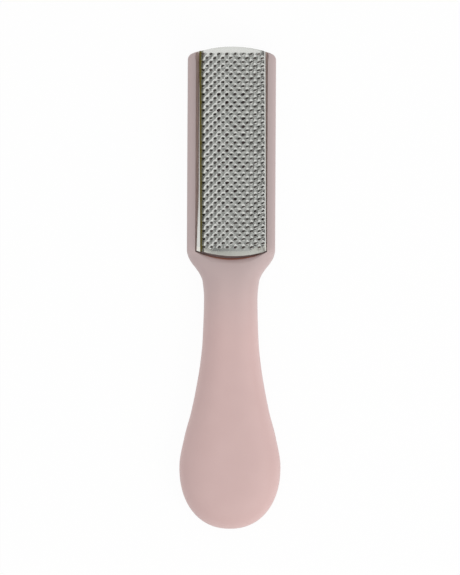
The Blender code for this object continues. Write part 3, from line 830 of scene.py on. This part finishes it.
def make_tooth(name, hole):
    """A tile of sheet with one crater, whose hole has its own rings."""
    bm = bmesh.new()
    rings = []
    for reaches, height in RIM_RINGS + hole + [(None, -SHEET / MM)]:
        ring = []
        for k in range(TOOTH_SIDES):
            angle = 2 * math.pi / TOOTH_SIDES * k
            edge = TOOTH_PITCH / 2 / (abs(math.cos(angle)) + abs(math.sin(angle)))
            reach = reaches[k % len(reaches)] * MM if reaches else edge
            place = (reach * math.cos(angle), reach * math.sin(angle), height * MM)
            ring.append(bm.verts.new(place))
        rings.append(ring)
    bridge(bm, rings)
    return object_from(name, bm, closed=False)


tooth, torn_tooth = make_tooth("tooth", HOLE_RINGS), make_tooth("torn_tooth", TORN_RINGS)
print("one tooth:", len(tooth.data.polygons), "faces")

# %% [markdown]
# ## The blank round the teeth
# Round the field of teeth the sheet is smooth: a strip at each curved end, and small
# triangles that fill the zigzag along the sides. The blank is drawn flat, as it comes off
# the coil, with x as the distance along the sheet. It is drawn once as an upper side and
# doubled downwards, and only its outer edges get a wall, so that the teeth weld into it.

# %% Knots, where diamonds meet
TOOTH_COLUMNS = 16
TOOTH_ROWS = 49
END_STRIP = 2.8 * MM
EDGE_MARGIN = 0.3 * MM
ARCH_HALF_WIDTH = 11.75 * MM
NECK_END_RADIUS = 42.0 * MM
ARCH_EDGE = PLATE_ARCH_RADIUS * math.asin(ARCH_HALF_WIDTH / PLATE_ARCH_RADIUS)
PLATE_NECK_Y = plate_low.y
HALF_PITCH = TOOTH_PITCH / 2


def blank_ends(x):
    """Where the sheet starts and ends along y. Both ends are close to arcs of their radius."""
    return PLATE_NECK_Y + x * x / (2 * NECK_END_RADIUS), TIP_Y - x * x / (2 * HEAD_END_RADIUS)


def knot(column, row):
    """A corner that four diamonds share, or a place between two, kept inside the blank's edges."""
    x = (column - (TOOTH_COLUMNS - 1) / 2) * HALF_PITCH
    x = min(max(x, -ARCH_EDGE), ARCH_EDGE)
    low, high = blank_ends(x)
    y = TIP_Y - END_STRIP - row * HALF_PITCH
    return x, min(max(y, low + EDGE_MARGIN), high - EDGE_MARGIN)


def zigzag(*corners):
    """Places along a line of (column, row) corners, with the one halfway each slanting step."""
    places = [knot(*corners[0])]
    for (c, r), (c_next, r_next) in zip(corners, corners[1:]):
        if c != c_next and r != r_next:
            places.append(knot((c + c_next) / 2, (r + r_next) / 2))
        places.append(knot(c_next, r_next))
    return places


left_knots = [knot(-1, row) for row in range(0, TOOTH_ROWS, 2)]
right_knots = [knot(TOOTH_COLUMNS, row) for row in range(1, TOOTH_ROWS - 1, 2)]
print("knots along the sides:", len(left_knots), "left,", len(right_knots), "right")

# %% Smooth faces round the field
last_column, last_row = TOOTH_COLUMNS - 1, TOOTH_ROWS - 1
blank_faces = []
for row in range(0, last_row, 2):
    blank_faces.append(zigzag((-1, row + 2), (0, row + 1), (-1, row))[::-1])
for row in range(1, last_row - 1, 2):
    after, between = row + 2, row + 1
    blank_faces.append(zigzag((TOOTH_COLUMNS, after), (last_column, between), (TOOTH_COLUMNS, row)))
for column in range(0, last_column - 1, 2):
    after, between = column + 2, column + 1
    blank_faces.append(zigzag((after, -1), (between, 0), (column, -1)))
    blank_faces.append(zigzag((after, TOOTH_ROWS), (between, last_row), (column, TOOTH_ROWS))[::-1])

# At each curved end: the field's knots from side to side, and the sheet's edge beyond them
end_edges = []
for row_in, row_out, left_row, right_row, which in (
    (0, -1, 0, 1, 1), (last_row, TOOTH_ROWS, last_row, last_row - 1, 0),
):
    corners = [(-1, left_row)] + [(column, row_out) for column in range(0, last_column, 2)]
    corners += [(last_column, row_in), (TOOTH_COLUMNS, right_row)]
    edge_x = [-ARCH_EDGE] + [knot(*corner)[0] for corner in corners[1:-1]] + [ARCH_EDGE]
    edge = [(x, blank_ends(x)[which]) for x in edge_x]
    for k in range(len(corners) - 1):
        face = zigzag(corners[k], corners[k + 1]) + [edge[k + 1], edge[k]]
        blank_faces.append(face if which else face[::-1])
    end_edges.append(edge if which else edge[::-1])
print("smooth faces on the upper side:", len(blank_faces))

# %% Flat blank
bm = bmesh.new()
for face in blank_faces:
    bm.faces.new([bm.verts.new((x, y, 0.0)) for x, y in face])
    bm.faces.new([bm.verts.new((x, y, -SHEET)) for x, y in reversed(face)])
for edge in end_edges:
    for a, b in zip(edge, edge[1:]):
        wall = [(*b, 0.0), (*a, 0.0), (*a, -SHEET), (*b, -SHEET)]
        bm.faces.new([bm.verts.new(point) for point in wall])
bmesh.ops.remove_doubles(bm, verts=bm.verts, dist=MERGE)
rasp_sheet = object_from("rasp_sheet", bm, closed=False)
print("flat blank:", len(rasp_sheet.data.polygons), "faces, teeth in", TOOTH_ROWS, "rows")

# %% [markdown]
# ## Punching and bending with Geometry Nodes
# Geometry Nodes do here what the press does. Two grids of points, one for the even rows and
# one for the odd rows between them, carry a copy of the tooth each. Over the dust pocket,
# every second place or so in the even rows gets the torn tooth. Corners that would
# cross the blank's edge are held back to it. The rims wobble by a little noise with a fixed
# seed, because no two strokes of a punch are alike. The teeth are welded into the blank,
# and the sheet is lifted between neighbours, so that it only sinks in the small pit that
# four teeth share. Last, every point is bent round the arch: its x becomes an angle, and
# its height above the sheet is added to the arch's radius.

# %% Sizes of the press
LEAN_AT_HEAD = 0.3 * MM
LEAN_AT_NECK = 0.9 * MM
END_FALL = 0.85 * MM
END_POWER = 1.6
PULL_MARGIN = 0.05 * MM

(neck_middle, head_middle), (neck_corner, head_corner) = blank_ends(0.0), blank_ends(ARCH_EDGE)
PRESS_SIZES = {
    "Pitch": TOOTH_PITCH, "Half pitch": HALF_PITCH, "Arch edge": ARCH_EDGE,
    "Field middle": TIP_Y - END_STRIP - last_row / 2 * HALF_PITCH,
    "Arch radius": PLATE_ARCH_RADIUS, "Crest height": PLATE_CREST_HEIGHT,
    "Head end": head_middle - EDGE_MARGIN, "Head corner": head_corner - EDGE_MARGIN,
    "Neck end": neck_middle + EDGE_MARGIN, "Neck corner": neck_corner + EDGE_MARGIN,
    "Lean at head": LEAN_AT_HEAD, "Lean at neck": LEAN_AT_NECK, "Weld distance": MERGE,
    "Wobble": 0.08 * MM, "Wobble size": 1.1 * MM,
    "Tooth height": TOOTH_HEIGHT, "Saddle height": 0.32 * MM, "Knot depth": 0.12 * MM,
    "Pulled half width": ARCH_EDGE - PULL_MARGIN,
    "Pulled half length": (TOOTH_ROWS + 1) / 2 * HALF_PITCH + PULL_MARGIN,
    "Plate at neck": PLATE_NECK_Y, "Plate at head": TIP_Y,
    "Roll start": TIP_Y - END_STRIP, "End fall": END_FALL, "End power": END_POWER,
    "Torn half width": POCKET_HALF_WIDTH, "Torn half length": POCKET_LENGTH / 2,
    "Torn middle": POCKET_LOW_Y + POCKET_LENGTH / 2, "Torn share": 0.5,
}
PRESS_COUNTS = {"Teeth in a row": TOOTH_COLUMNS // 2, "Even rows": (TOOTH_ROWS + 1) // 2, "Seed": 7}
print("press:", len(PRESS_SIZES), "sizes and", len(PRESS_COUNTS), "counts")

# %% [markdown]
# ## The sums of the press
# The sums are many and small, so they are lists. Each entry is a name, a Math operation and
# its terms, which are names of earlier values or plain numbers. x, y and z are the place of
# the point that is worked on, so one node serves every step that asks for it.

# %% Sums for the places, the edges and the rims
# Noise mostly stays within a quarter either side of its middle, so it is pushed out by this much
NOISE_TO_WOBBLE = 4.0
PLACE_SUMS = [
    # Two grids of places, a quarter pitch to either side of the middle line
    ("gaps across", "SUBTRACT", "Teeth in a row", 1),
    ("field width", "MULTIPLY", "gaps across", "Pitch"),
    ("odd rows", "SUBTRACT", "Even rows", 1), ("odd gaps", "SUBTRACT", "odd rows", 1),
    ("even length", "MULTIPLY", "odd rows", "Pitch"),
    ("odd length", "MULTIPLY", "odd gaps", "Pitch"),
    ("right shift", "DIVIDE", "Pitch", 4), ("left shift", "DIVIDE", "Pitch", -4),
    # Which places are over the pocket, and which of those are torn
    ("x size", "ABSOLUTE", "x"), ("near across", "LESS_THAN", "x size", "Torn half width"),
    ("along", "SUBTRACT", "y", "Torn middle"), ("out along", "ABSOLUTE", "along"),
    ("near along", "LESS_THAN", "out along", "Torn half length"),
    ("over pocket", "MULTIPLY", "near across", "near along"),
    ("torn", "MULTIPLY", "over pocket", "chance"), ("sound", "SUBTRACT", 1.0, "torn"),
    # Held inside the blank
    ("minus edge", "MULTIPLY", "Arch edge", -1), ("right of it", "MAXIMUM", "x", "minus edge"),
    ("held x", "MINIMUM", "right of it", "Arch edge"),
    ("x squared", "MULTIPLY", "held x", "held x"),
    ("edge squared", "MULTIPLY", "Arch edge", "Arch edge"),
    ("across", "DIVIDE", "x squared", "edge squared"),
    ("head sweep", "SUBTRACT", "Head corner", "Head end"),
    ("neck sweep", "SUBTRACT", "Neck corner", "Neck end"),
    ("head limit", "MULTIPLY_ADD", "across", "head sweep", "Head end"),
    ("neck limit", "MULTIPLY_ADD", "across", "neck sweep", "Neck end"),
    ("below head", "MINIMUM", "y", "head limit"), ("held y", "MAXIMUM", "below head", "neck limit"),
    # Rims wobble a little, and the more the higher they stand
    ("risen", "MAXIMUM", "z", 0.0), ("raised", "DIVIDE", "risen", "Tooth height"),
    ("most push", "MULTIPLY", "Wobble", NOISE_TO_WOBBLE),
    ("push", "MULTIPLY", "raised", "most push"),
    ("waves", "DIVIDE", 1.0, "Wobble size"),
]
print("sums for the teeth:", len(PLACE_SUMS))

# %% Sums for the pull between the teeth, and for the bend
BEND_SUMS = [
    # A wave that is 0 between neighbours and 1 in the corner that four teeth share
    ("turn x", "DIVIDE", "x", "Half pitch"), ("angle x", "MULTIPLY", "turn x", math.pi),
    ("from field", "SUBTRACT", "y", "Field middle"),
    ("turn y", "DIVIDE", "from field", "Half pitch"),
    ("angle y", "MULTIPLY", "turn y", math.pi),
    ("wave x", "SINE", "angle x"), ("wave y", "COSINE", "angle y"),
    ("apart", "SUBTRACT", "wave x", "wave y"), ("apart squared", "MULTIPLY", "apart", "apart"),
    ("sag", "DIVIDE", "apart squared", 4.0), ("whole drop", "ADD", "Saddle height", "Knot depth"),
    ("drop", "MULTIPLY", "sag", "whole drop"), ("pull", "SUBTRACT", "Saddle height", "drop"),
    # The lift, only inside the field
    ("inside x", "LESS_THAN", "x size", "Pulled half width"), ("y size", "ABSOLUTE", "from field"),
    ("inside y", "LESS_THAN", "y size", "Pulled half length"),
    ("inside", "MULTIPLY", "inside x", "inside y"), ("lift", "MULTIPLY", "pull", "inside"),
    # The plate leans over a little more towards the neck
    ("past neck", "SUBTRACT", "y", "Plate at neck"),
    ("plate length", "SUBTRACT", "Plate at head", "Plate at neck"),
    ("share to head", "DIVIDE", "past neck", "plate length"),
    ("lean change", "SUBTRACT", "Lean at head", "Lean at neck"),
    ("lean", "MULTIPLY_ADD", "share to head", "lean change", "Lean at neck"),
    # Its head end rolls down over the last strip
    ("past roll", "SUBTRACT", "y", "Roll start"),
    ("roll length", "SUBTRACT", "Plate at head", "Roll start"),
    ("roll share", "DIVIDE", "past roll", "roll length"), ("rolled", "MAXIMUM", "roll share", 0.0),
    ("roll", "POWER", "rolled", "End power"), ("fall", "MULTIPLY", "roll", "End fall"),
    # The bend round the arch
    ("angle", "DIVIDE", "x", "Arch radius"), ("lifted z", "ADD", "z", "lift"),
    ("radius", "ADD", "Arch radius", "lifted z"),
    ("sine", "SINE", "angle"), ("cosine", "COSINE", "angle"),
    ("bent x", "MULTIPLY_ADD", "radius", "sine", "lean"),
    ("risen z", "MULTIPLY", "radius", "cosine"),
    ("centre", "SUBTRACT", "Crest height", "Arch radius"), ("arch z", "ADD", "risen z", "centre"),
    ("bent z", "SUBTRACT", "arch z", "fall"),
]
print("sums for the sheet:", len(BEND_SUMS))

# %% The press as a node tree
PRESS_PARTS = {"Tooth": tooth, "Torn tooth": torn_tooth, "Finish": steels[BRIGHT]}

press = bpy.data.node_groups.new("punch_and_bend", "GeometryNodeTree")
sockets_in = [("Geometry", "Geometry")] + [(name, "Float") for name in PRESS_SIZES]
sockets_in += [(name, "Int") for name in PRESS_COUNTS]
sockets_in += [(name, type(part).__name__) for name, part in PRESS_PARTS.items()]
for name, kind in sockets_in:
    press.interface.new_socket(name, in_out="INPUT", socket_type="NodeSocket" + kind)
press.interface.new_socket("Geometry", in_out="OUTPUT", socket_type="NodeSocketGeometry")
sizes = add_node(press, "NodeGroupInput").outputs
where = add_node(press, "GeometryNodeInputPosition").outputs["Position"]
x, y, z = add_node(press, "ShaderNodeSeparateXYZ", {0: where}).outputs
chance = add_node(press, "FunctionNodeRandomValue", data_type="BOOLEAN", inputs={
    "Probability": sizes["Torn share"], "Seed": sizes["Seed"],
})
value = {name: sizes[name] for name in (*PRESS_SIZES, *PRESS_COUNTS)}
value.update({"x": x, "y": y, "z": z, "chance": chance.outputs[3]})
for name, operation, *terms in PLACE_SUMS + BEND_SUMS:
    terms = {k: value.get(term, term) for k, term in enumerate(terms)}
    value[name] = add_node(press, "ShaderNodeMath", operation=operation, inputs=terms)
print("press: inputs and sums in", len(press.nodes), "nodes")

# %% Strike a tooth on each place
strokes = add_node(press, "GeometryNodeJoinGeometry")
either_tooth = {"Tooth": value["sound"], "Torn tooth": value["torn"]}
for rows, length, shift, punches in (
    ("Even rows", "even length", "left shift", either_tooth),
    ("odd rows", "odd length", "right shift", {"Tooth": True}),
):
    grid = add_node(press, "GeometryNodeMeshGrid", {
        "Size X": value["field width"], "Size Y": value[length],
        "Vertices X": value["Teeth in a row"], "Vertices Y": value[rows],
    })
    moved = add_node(press, "ShaderNodeCombineXYZ", {"X": value[shift], "Y": value["Field middle"]})
    places = add_node(press, "GeometryNodeTransform", {"Geometry": grid, "Translation": moved})
    for punch, chosen in punches.items():
        shape = add_node(press, "GeometryNodeObjectInfo", {"Object": sizes[punch]})
        struck = add_node(press, "GeometryNodeInstanceOnPoints", {
            "Points": places, "Selection": chosen, "Instance": shape.outputs["Geometry"],
        })
        fill_inputs(strokes, {"Geometry": struck})
field = add_node(press, "GeometryNodeRealizeInstances", {"Geometry": strokes})
print("press: teeth struck, with", len(press.nodes), "nodes")

# %% Hold the teeth inside the blank, and weld
held = add_node(press, "ShaderNodeCombineXYZ", {"X": value["held x"], "Y": value["held y"], "Z": z})
inside_blank = add_node(press, "GeometryNodeSetPosition", {"Geometry": field, "Position": held})
wander = add_node(press, "ShaderNodeTexNoise", noise_dimensions="4D", inputs={
    "Vector": where, "W": sizes["Seed"], "Scale": value["waves"], "Detail": 0.0,
})
centred = add_node(press, "ShaderNodeVectorMath", operation="SUBTRACT", inputs={
    0: wander.outputs["Color"], 1: (0.5, 0.5, 0.5),
})
pushed = add_node(press, "ShaderNodeVectorMath", operation="SCALE", inputs={
    0: centred, "Scale": value["push"],
})
wobbled = add_node(press, "GeometryNodeSetPosition", {"Geometry": inside_blank, "Offset": pushed})
whole = add_node(press, "GeometryNodeJoinGeometry")
for part in (sizes["Geometry"], wobbled):
    fill_inputs(whole, {"Geometry": part})
welded = add_node(press, "GeometryNodeMergeByDistance",
                  {"Geometry": whole, "Distance": sizes["Weld distance"]})
print("press: teeth held and welded, with", len(press.nodes), "nodes")

# %% Bend the sheet, and run the press
bent = add_node(press, "ShaderNodeCombineXYZ", {"X": value["bent x"], "Y": y, "Z": value["bent z"]})
arched = add_node(press, "GeometryNodeSetPosition", {"Geometry": welded, "Position": bent})
realized = add_node(press, "GeometryNodeRealizeInstances", {"Geometry": arched})
plated = add_node(press, "GeometryNodeSetMaterial",
                  {"Geometry": realized, "Material": sizes["Finish"]})
add_node(press, "NodeGroupOutput", {"Geometry": plated})

modifier = rasp_sheet.modifiers.new("press", "NODES")
modifier.node_group = press
inputs = {**PRESS_SIZES, **PRESS_COUNTS, **PRESS_PARTS}
for item in press.interface.items_tree:
    if item.in_out == "INPUT" and item.name in inputs:
        modifier[item.identifier] = inputs[item.name]
evaluated = rasp_sheet.evaluated_get(bpy.context.evaluated_depsgraph_get())
punched = bpy.data.meshes.new_from_object(evaluated)
rasp_sheet.modifiers.clear()
rasp_sheet.data = punched
for used in (tooth, torn_tooth):
    bpy.data.objects.remove(used)
print("punched and bent:", len(punched.polygons), "faces,", len(press.nodes), "nodes in the tree")

# %% [markdown]
# ## The flanges
# Along both sides the sheet drops over a tight bend, runs out in a smooth strip, turns down
# beside the rail and ends in a foot that hooks into the rail's groove. Every row of corners
# here starts at a knot of the tooth field, so the flange welds to it without a gap. The
# sheet is as thick here as elsewhere, so each outer corner has an inner one.

# %% Where the bend and the leg of a flange stand
LEFT_REACH_AT_HEAD = 0.74 * MM
LEFT_REACH_AT_NECK = 0.66 * MM
HEAD_TAPER = 0.38 * MM
LEFT_TAPER = 0.46 * MM
LEFT_TAPER_LENGTH = 26.0 * MM


def share_to_head(y):
    return (y - PLATE_NECK_Y) / (TIP_Y - PLATE_NECK_Y)


def arch_point(x, y, lift):
    """A point of the bent sheet, as the press leaves it."""
    lean = lerp(LEAN_AT_NECK, LEAN_AT_HEAD, share_to_head(y))
    radius = PLATE_ARCH_RADIUS + lift
    angle = x / PLATE_ARCH_RADIUS
    rolled = max(y - TIP_Y + END_STRIP, 0.0) / END_STRIP
    centre_height = PLATE_CREST_HEIGHT - PLATE_ARCH_RADIUS
    height = centre_height + radius * math.cos(angle) - END_FALL * rolled**END_POWER
    return Vector((lean + radius * math.sin(angle), y, height))


def left_reach(y):
    return lerp(LEFT_REACH_AT_NECK, LEFT_REACH_AT_HEAD, share_to_head(y))


def leg_half_width(side, y):
    """How far out a flange's leg stands: the plate is a little narrower towards the head."""
    if side < 0:
        return FLANGE_HALF_WIDTH - LEFT_TAPER * smooth((y - PLATE_NECK_Y) / LEFT_TAPER_LENGTH)
    return FLANGE_HALF_WIDTH - HEAD_TAPER * share_to_head(y)


for side in (-1, 1):
    print("side", side, f"leg at the tip: {leg_half_width(side, TIP_Y) / MM:.2f} mm out")

# %% Corners across a flange
RIGHT_REACH = 0.45 * MM
BEND_DROP = 0.62 * MM
BEND_ROUND = (0.12 * MM, 0.1 * MM)
STRIP_END_HEIGHT = 7.75 * MM
LEG_BEND = 0.22 * MM
# Corners round the turn into the leg, in leg bends out from the leg and up from the strip's end
OUTER_TURN = ((-1.0, 0.8), (-0.3, 0.0), (0.0, -1.0))
INNER_TURN = ((-1.0, -0.6), (-0.3, -1.0), (0.0, -2.0))
# The inner side of the bend, in sheets in and down, with half the outer rounding at first
INNER_BEND = ((1.0, 0.3), (0.8, 0.6))


def flange_row(side, y_of):
    """Outer and inner corners across one flange. y_of gives y for a distance from the middle."""
    y = y_of(ARCH_EDGE)
    edge, under = arch_point(side * ARCH_EDGE, y, 0.0), arch_point(side * ARCH_EDGE, y, -SHEET)
    bend_x = abs(edge.x) + (left_reach(y) if side < 0 else RIGHT_REACH)
    bend_z = edge.z - BEND_DROP
    leg = leg_half_width(side, y)
    (first_in, first_down), (next_in, next_down) = INNER_BEND
    outer = [(bend_x - BEND_ROUND[0], bend_z + BEND_ROUND[1]), (bend_x, bend_z)]
    inner = [(bend_x - SHEET * first_in - BEND_ROUND[0] / 2, bend_z - SHEET * first_down),
             (bend_x - SHEET * next_in, bend_z - SHEET * next_down)]
    for corners, turn, leg_x, foot_z in (
        (outer, OUTER_TURN, leg, FOOT_HEIGHT),
        (inner, INNER_TURN, leg - SHEET, FOOT_HEIGHT - SHEET),
    ):
        corners += [(leg_x + out * LEG_BEND, STRIP_END_HEIGHT + up * LEG_BEND) for out, up in turn]
        corners += [(leg_x, foot_z), (FOOT_HALF_WIDTH, foot_z)]
    row = [(edge, under)]
    for (out_x, out_z), (in_x, in_z) in zip(outer, inner):
        y = y_of(out_x)
        row.append((Vector((side * out_x, y, out_z)), Vector((side * in_x, y, in_z))))
    return row


print("corners across a flange:", len(flange_row(1, lambda x: 0.0)))

# %% Skin both flanges and weld them on


def add_flange(bm, side, knots):
    """Skins one flange: outside, inside, both ends and the foot's tip."""
    def held_at(knot_y):
        def y_of(x):
            low, high = blank_ends(x)
            return min(max(knot_y, low + EDGE_MARGIN), high - EDGE_MARGIN)
        return y_of

    rows = [flange_row(side, lambda x: blank_ends(x)[1])]
    rows += [flange_row(side, held_at(y)) for x, y in knots]
    rows.append(flange_row(side, lambda x: blank_ends(x)[0]))
    made = [[(bm.verts.new(outer), bm.verts.new(inner)) for outer, inner in row] for row in rows]
    for row, after in zip(made, made[1:]):
        for k in range(len(row) - 1):
            for s in (0, 1):
                bm.faces.new((row[k][s], row[k + 1][s], after[k + 1][s], after[k][s]))
        bm.faces.new((row[-1][0], row[-1][1], after[-1][1], after[-1][0]))
    for row in (made[0], made[-1]):
        for k in range(len(row) - 1):
            bm.faces.new((row[k][0], row[k][1], row[k + 1][1], row[k + 1][0]))


bm = bmesh.new()
bm.from_mesh(rasp_sheet.data)
add_flange(bm, -1, left_knots)
add_flange(bm, 1, right_knots)
bmesh.ops.remove_doubles(bm, verts=bm.verts, dist=2 * MERGE)
bmesh.ops.recalc_face_normals(bm, faces=bm.faces)
open_edges = sum(1 for edge in bm.edges if not edge.is_manifold)
print("rasp sheet:", len(bm.faces), "faces,", open_edges, "open edges")

# %% Finishes of the sheet
OLIVE_REACH = 0.15 * MM
GREY_BESIDE_REACH = 0.75 * MM
PALE_REFLECTION_STRIP = 1.9 * MM
SHEET_SHARP_ANGLE = math.radians(42)

rasp_sheet.data.materials.clear()
for finish in steels:
    rasp_sheet.data.materials.append(finish)
for face in bm.faces:
    x, y, z = face.calc_center_median()
    bend = arch_point(-ARCH_EDGE, y, 0.0).x
    # The strip at the neck end gets the paler nickel, a painted reflection
    in_pale_reflection = y < blank_ends(x)[0] + PALE_REFLECTION_STRIP and z > STRIP_END_HEIGHT
    face.material_index = PALE_REFLECTION if in_pale_reflection else BRIGHT
    # Along the left bend: dark olive in the bend itself, then a darker grey strip beside it
    if bend - left_reach(y) < x < bend + GREY_BESIDE_REACH:
        face.material_index = OLIVE_BEND if x < bend + OLIVE_REACH else GREY_BESIDE_BEND
    if abs(x) > leg_half_width(x, y) - LEG_BEND / 2 and z < STRIP_END_HEIGHT:
        face.material_index = DUSTY
bm.to_mesh(rasp_sheet.data)
bm.free()
rasp_sheet.data.shade_smooth()
rasp_sheet.data.set_sharp_from_angle(angle=SHEET_SHARP_ANGLE)
print("rasp sheet:", len(rasp_sheet.data.polygons), "faces in", len(steels), "finishes")

# %% [markdown]
# ## Floor, surroundings and light
# A studio shot on white: a pale floor that keeps a trace of the tool's shadow, and a white
# room all round. Metal shows nothing but its surroundings, so a photographer gives it grey
# cards to mirror. A large one hangs overhead and is paler to the right, a dark one stands
# beyond the handle's end, and one on each side closes the ring but for the white beyond the
# head. They are seen only in reflections.

# %% What floor and room share
CORNERS = ((-1, -1), (1, -1), (1, 1), (-1, 1))


def flat_sheet(name, corners, material):
    mesh = bpy.data.meshes.new(name)
    mesh.from_pydata(corners, [], [(0, 1, 2, 3)])
    mesh.materials.append(material)
    return link_object(name, mesh)


def seen_plainly(tree):
    """1 where the eye looks, also by a mirror or through glass, and 0 for stray light."""
    rays = add_node(tree, "ShaderNodeLightPath").outputs
    seen = rays["Is Camera Ray"]
    for kind in ("Is Glossy Ray", "Is Transmission Ray"):
        both = {0: seen, 1: rays[kind]}
        seen = add_node(tree, "ShaderNodeMath", operation="MAXIMUM", inputs=both)
    return seen


print("floor and cards are sheets of", len(CORNERS), "corners")

# %% Floor
FLOOR_SIZE = 4.0
FLOOR_Z = -0.05 * MM
FLOOR_GLOW = 0.95

floor_paper, tree, paper = new_finish("white_backdrop_paper", {
    "Base Color": linear("#f8f8f8"), "Roughness": 0.9, "Specular IOR Level": 0.1,
})
glow = add_node(tree, "ShaderNodeEmission", {"Color": linear("#ffffff"), "Strength": 1.0})
shown = add_node(tree, "ShaderNodeMath", operation="MULTIPLY", inputs={
    0: seen_plainly(tree), 1: FLOOR_GLOW,
})
mixed = add_node(tree, "ShaderNodeMixShader", {0: shown, 1: paper, 2: glow})
fill_inputs(tree.nodes["Material Output"], {"Surface": mixed})
reach = FLOOR_SIZE / 2
floor = flat_sheet("floor", [(sx * reach, sy * reach, FLOOR_Z) for sx, sy in CORNERS], floor_paper)
floor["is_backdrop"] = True
print("floor:", FLOOR_SIZE, "m square")

# %% World
ROOM_LIGHT = 0.77

world = bpy.data.worlds.new("white_room")
world.use_nodes = True
bpy.context.scene.world = world
tree = world.node_tree
room = tree.nodes["Background"]
level = add_node(tree, "ShaderNodeMapRange",
                 {"Value": seen_plainly(tree), "To Min": ROOM_LIGHT, "To Max": 1.0})
fill_inputs(room, {"Color": linear("#ffffff"), "Strength": level})
print("world: white, with", ROOM_LIGHT, "of its light on the object")

# %% Grey cards


def add_card(name, centre, size, towards, grey, far_grey=None, fade=(0.0, 1.0)):
    """A card that glows at a grey, or at one that fades along x. Only reflections show it."""
    material, tree = new_finish(name)[:2]
    where = add_node(tree, "ShaderNodeTexCoord").outputs["Object"]
    place = add_node(tree, "ShaderNodeSeparateXYZ", {0: where})
    share = add_node(tree, "ShaderNodeMapRange",
                     {"Value": place.outputs["X"], "From Min": fade[0], "From Max": fade[1]})
    shade = add_node(tree, "ShaderNodeMix", data_type="RGBA", inputs={
        "Factor": share, 6: linear(grey), 7: linear(far_grey or grey),
    })
    glow = add_node(tree, "ShaderNodeEmission", {"Color": shade.outputs[2], "Strength": 1.0})
    fill_inputs(tree.nodes["Material Output"], {"Surface": glow})
    turn = (Vector(towards) - Vector(centre)).to_track_quat("Z", "Y").to_matrix()
    corners = [Vector(centre) + turn @ Vector((sx * size[0] / 2, sy * size[1] / 2, 0))
               for sx, sy in CORNERS]
    card = flat_sheet(name, corners, material)
    card.visible_camera = False
    card.visible_diffuse = False
    card.visible_shadow = False
    card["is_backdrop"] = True


add_card("overhead_card", (0.3, -0.75, 1.7), (4.4, 3.5), (0.3, -0.75, 0.0), "#7d7e7d",
         "#d2d3d2", (-1.4, 1.2))
add_card("right_card", (2.4, 0.7, 0.8), (4.4, 1.6), (0.0, 0.7, 0.3), "#7c7b7a")
add_card("near_card", (0.3, -2.2, 0.8), (4.6, 1.6), (0.0, 0.0, 0.3), "#4c4a48")
add_card("left_card", (-2.2, -1.4, 0.8), (2.4, 1.6), (0.0, 0.0, 0.3), "#a2a1a0")
print("cards: overhead, right, near and left")

# %% Key light
KEY_PLACE = (1.0, -0.7, 0.8)

key_light = bpy.data.lights.new("key_box", "AREA")
key_light.shape = "SQUARE"
key_light.size = 0.8
key_light.energy = 7.5
key_light.color = linear("#fffaf6")[:3]
key = bpy.data.objects.new("key_box", key_light)
key.location = KEY_PLACE
key.rotation_euler = (-Vector(KEY_PLACE)).to_track_quat("-Z", "Y").to_euler()
key.visible_glossy = False
bpy.context.scene.collection.objects.link(key)
print("key light gives", key_light.energy, "W")

# %% [markdown]
# ## Put the pieces on their bodies
# The two mouldings belong to the handle, and the sheet slides with the plate's body. Each
# piece stands in for its imported node, which stays in the physics model.

# %% Ride and replace, then measure the box
for piece, body, node, slot in (
    (front_shell, "handle", "handle_front_shell", "front_shell"),
    (back_cover, "handle", "handle_back_cover", "back_cover"),
    (rasp_sheet, "plate", "rasp_plate", "rasp"),
):
    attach(piece, body)
    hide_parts(node)

bpy.context.scene.view_settings.view_transform = "Standard"
visual_box = [list(corner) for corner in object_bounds()]
change = max(abs(a - b) for low, high in zip(cad_box, visual_box) for a, b in zip(low, high))
print("largest change of the box:", change)
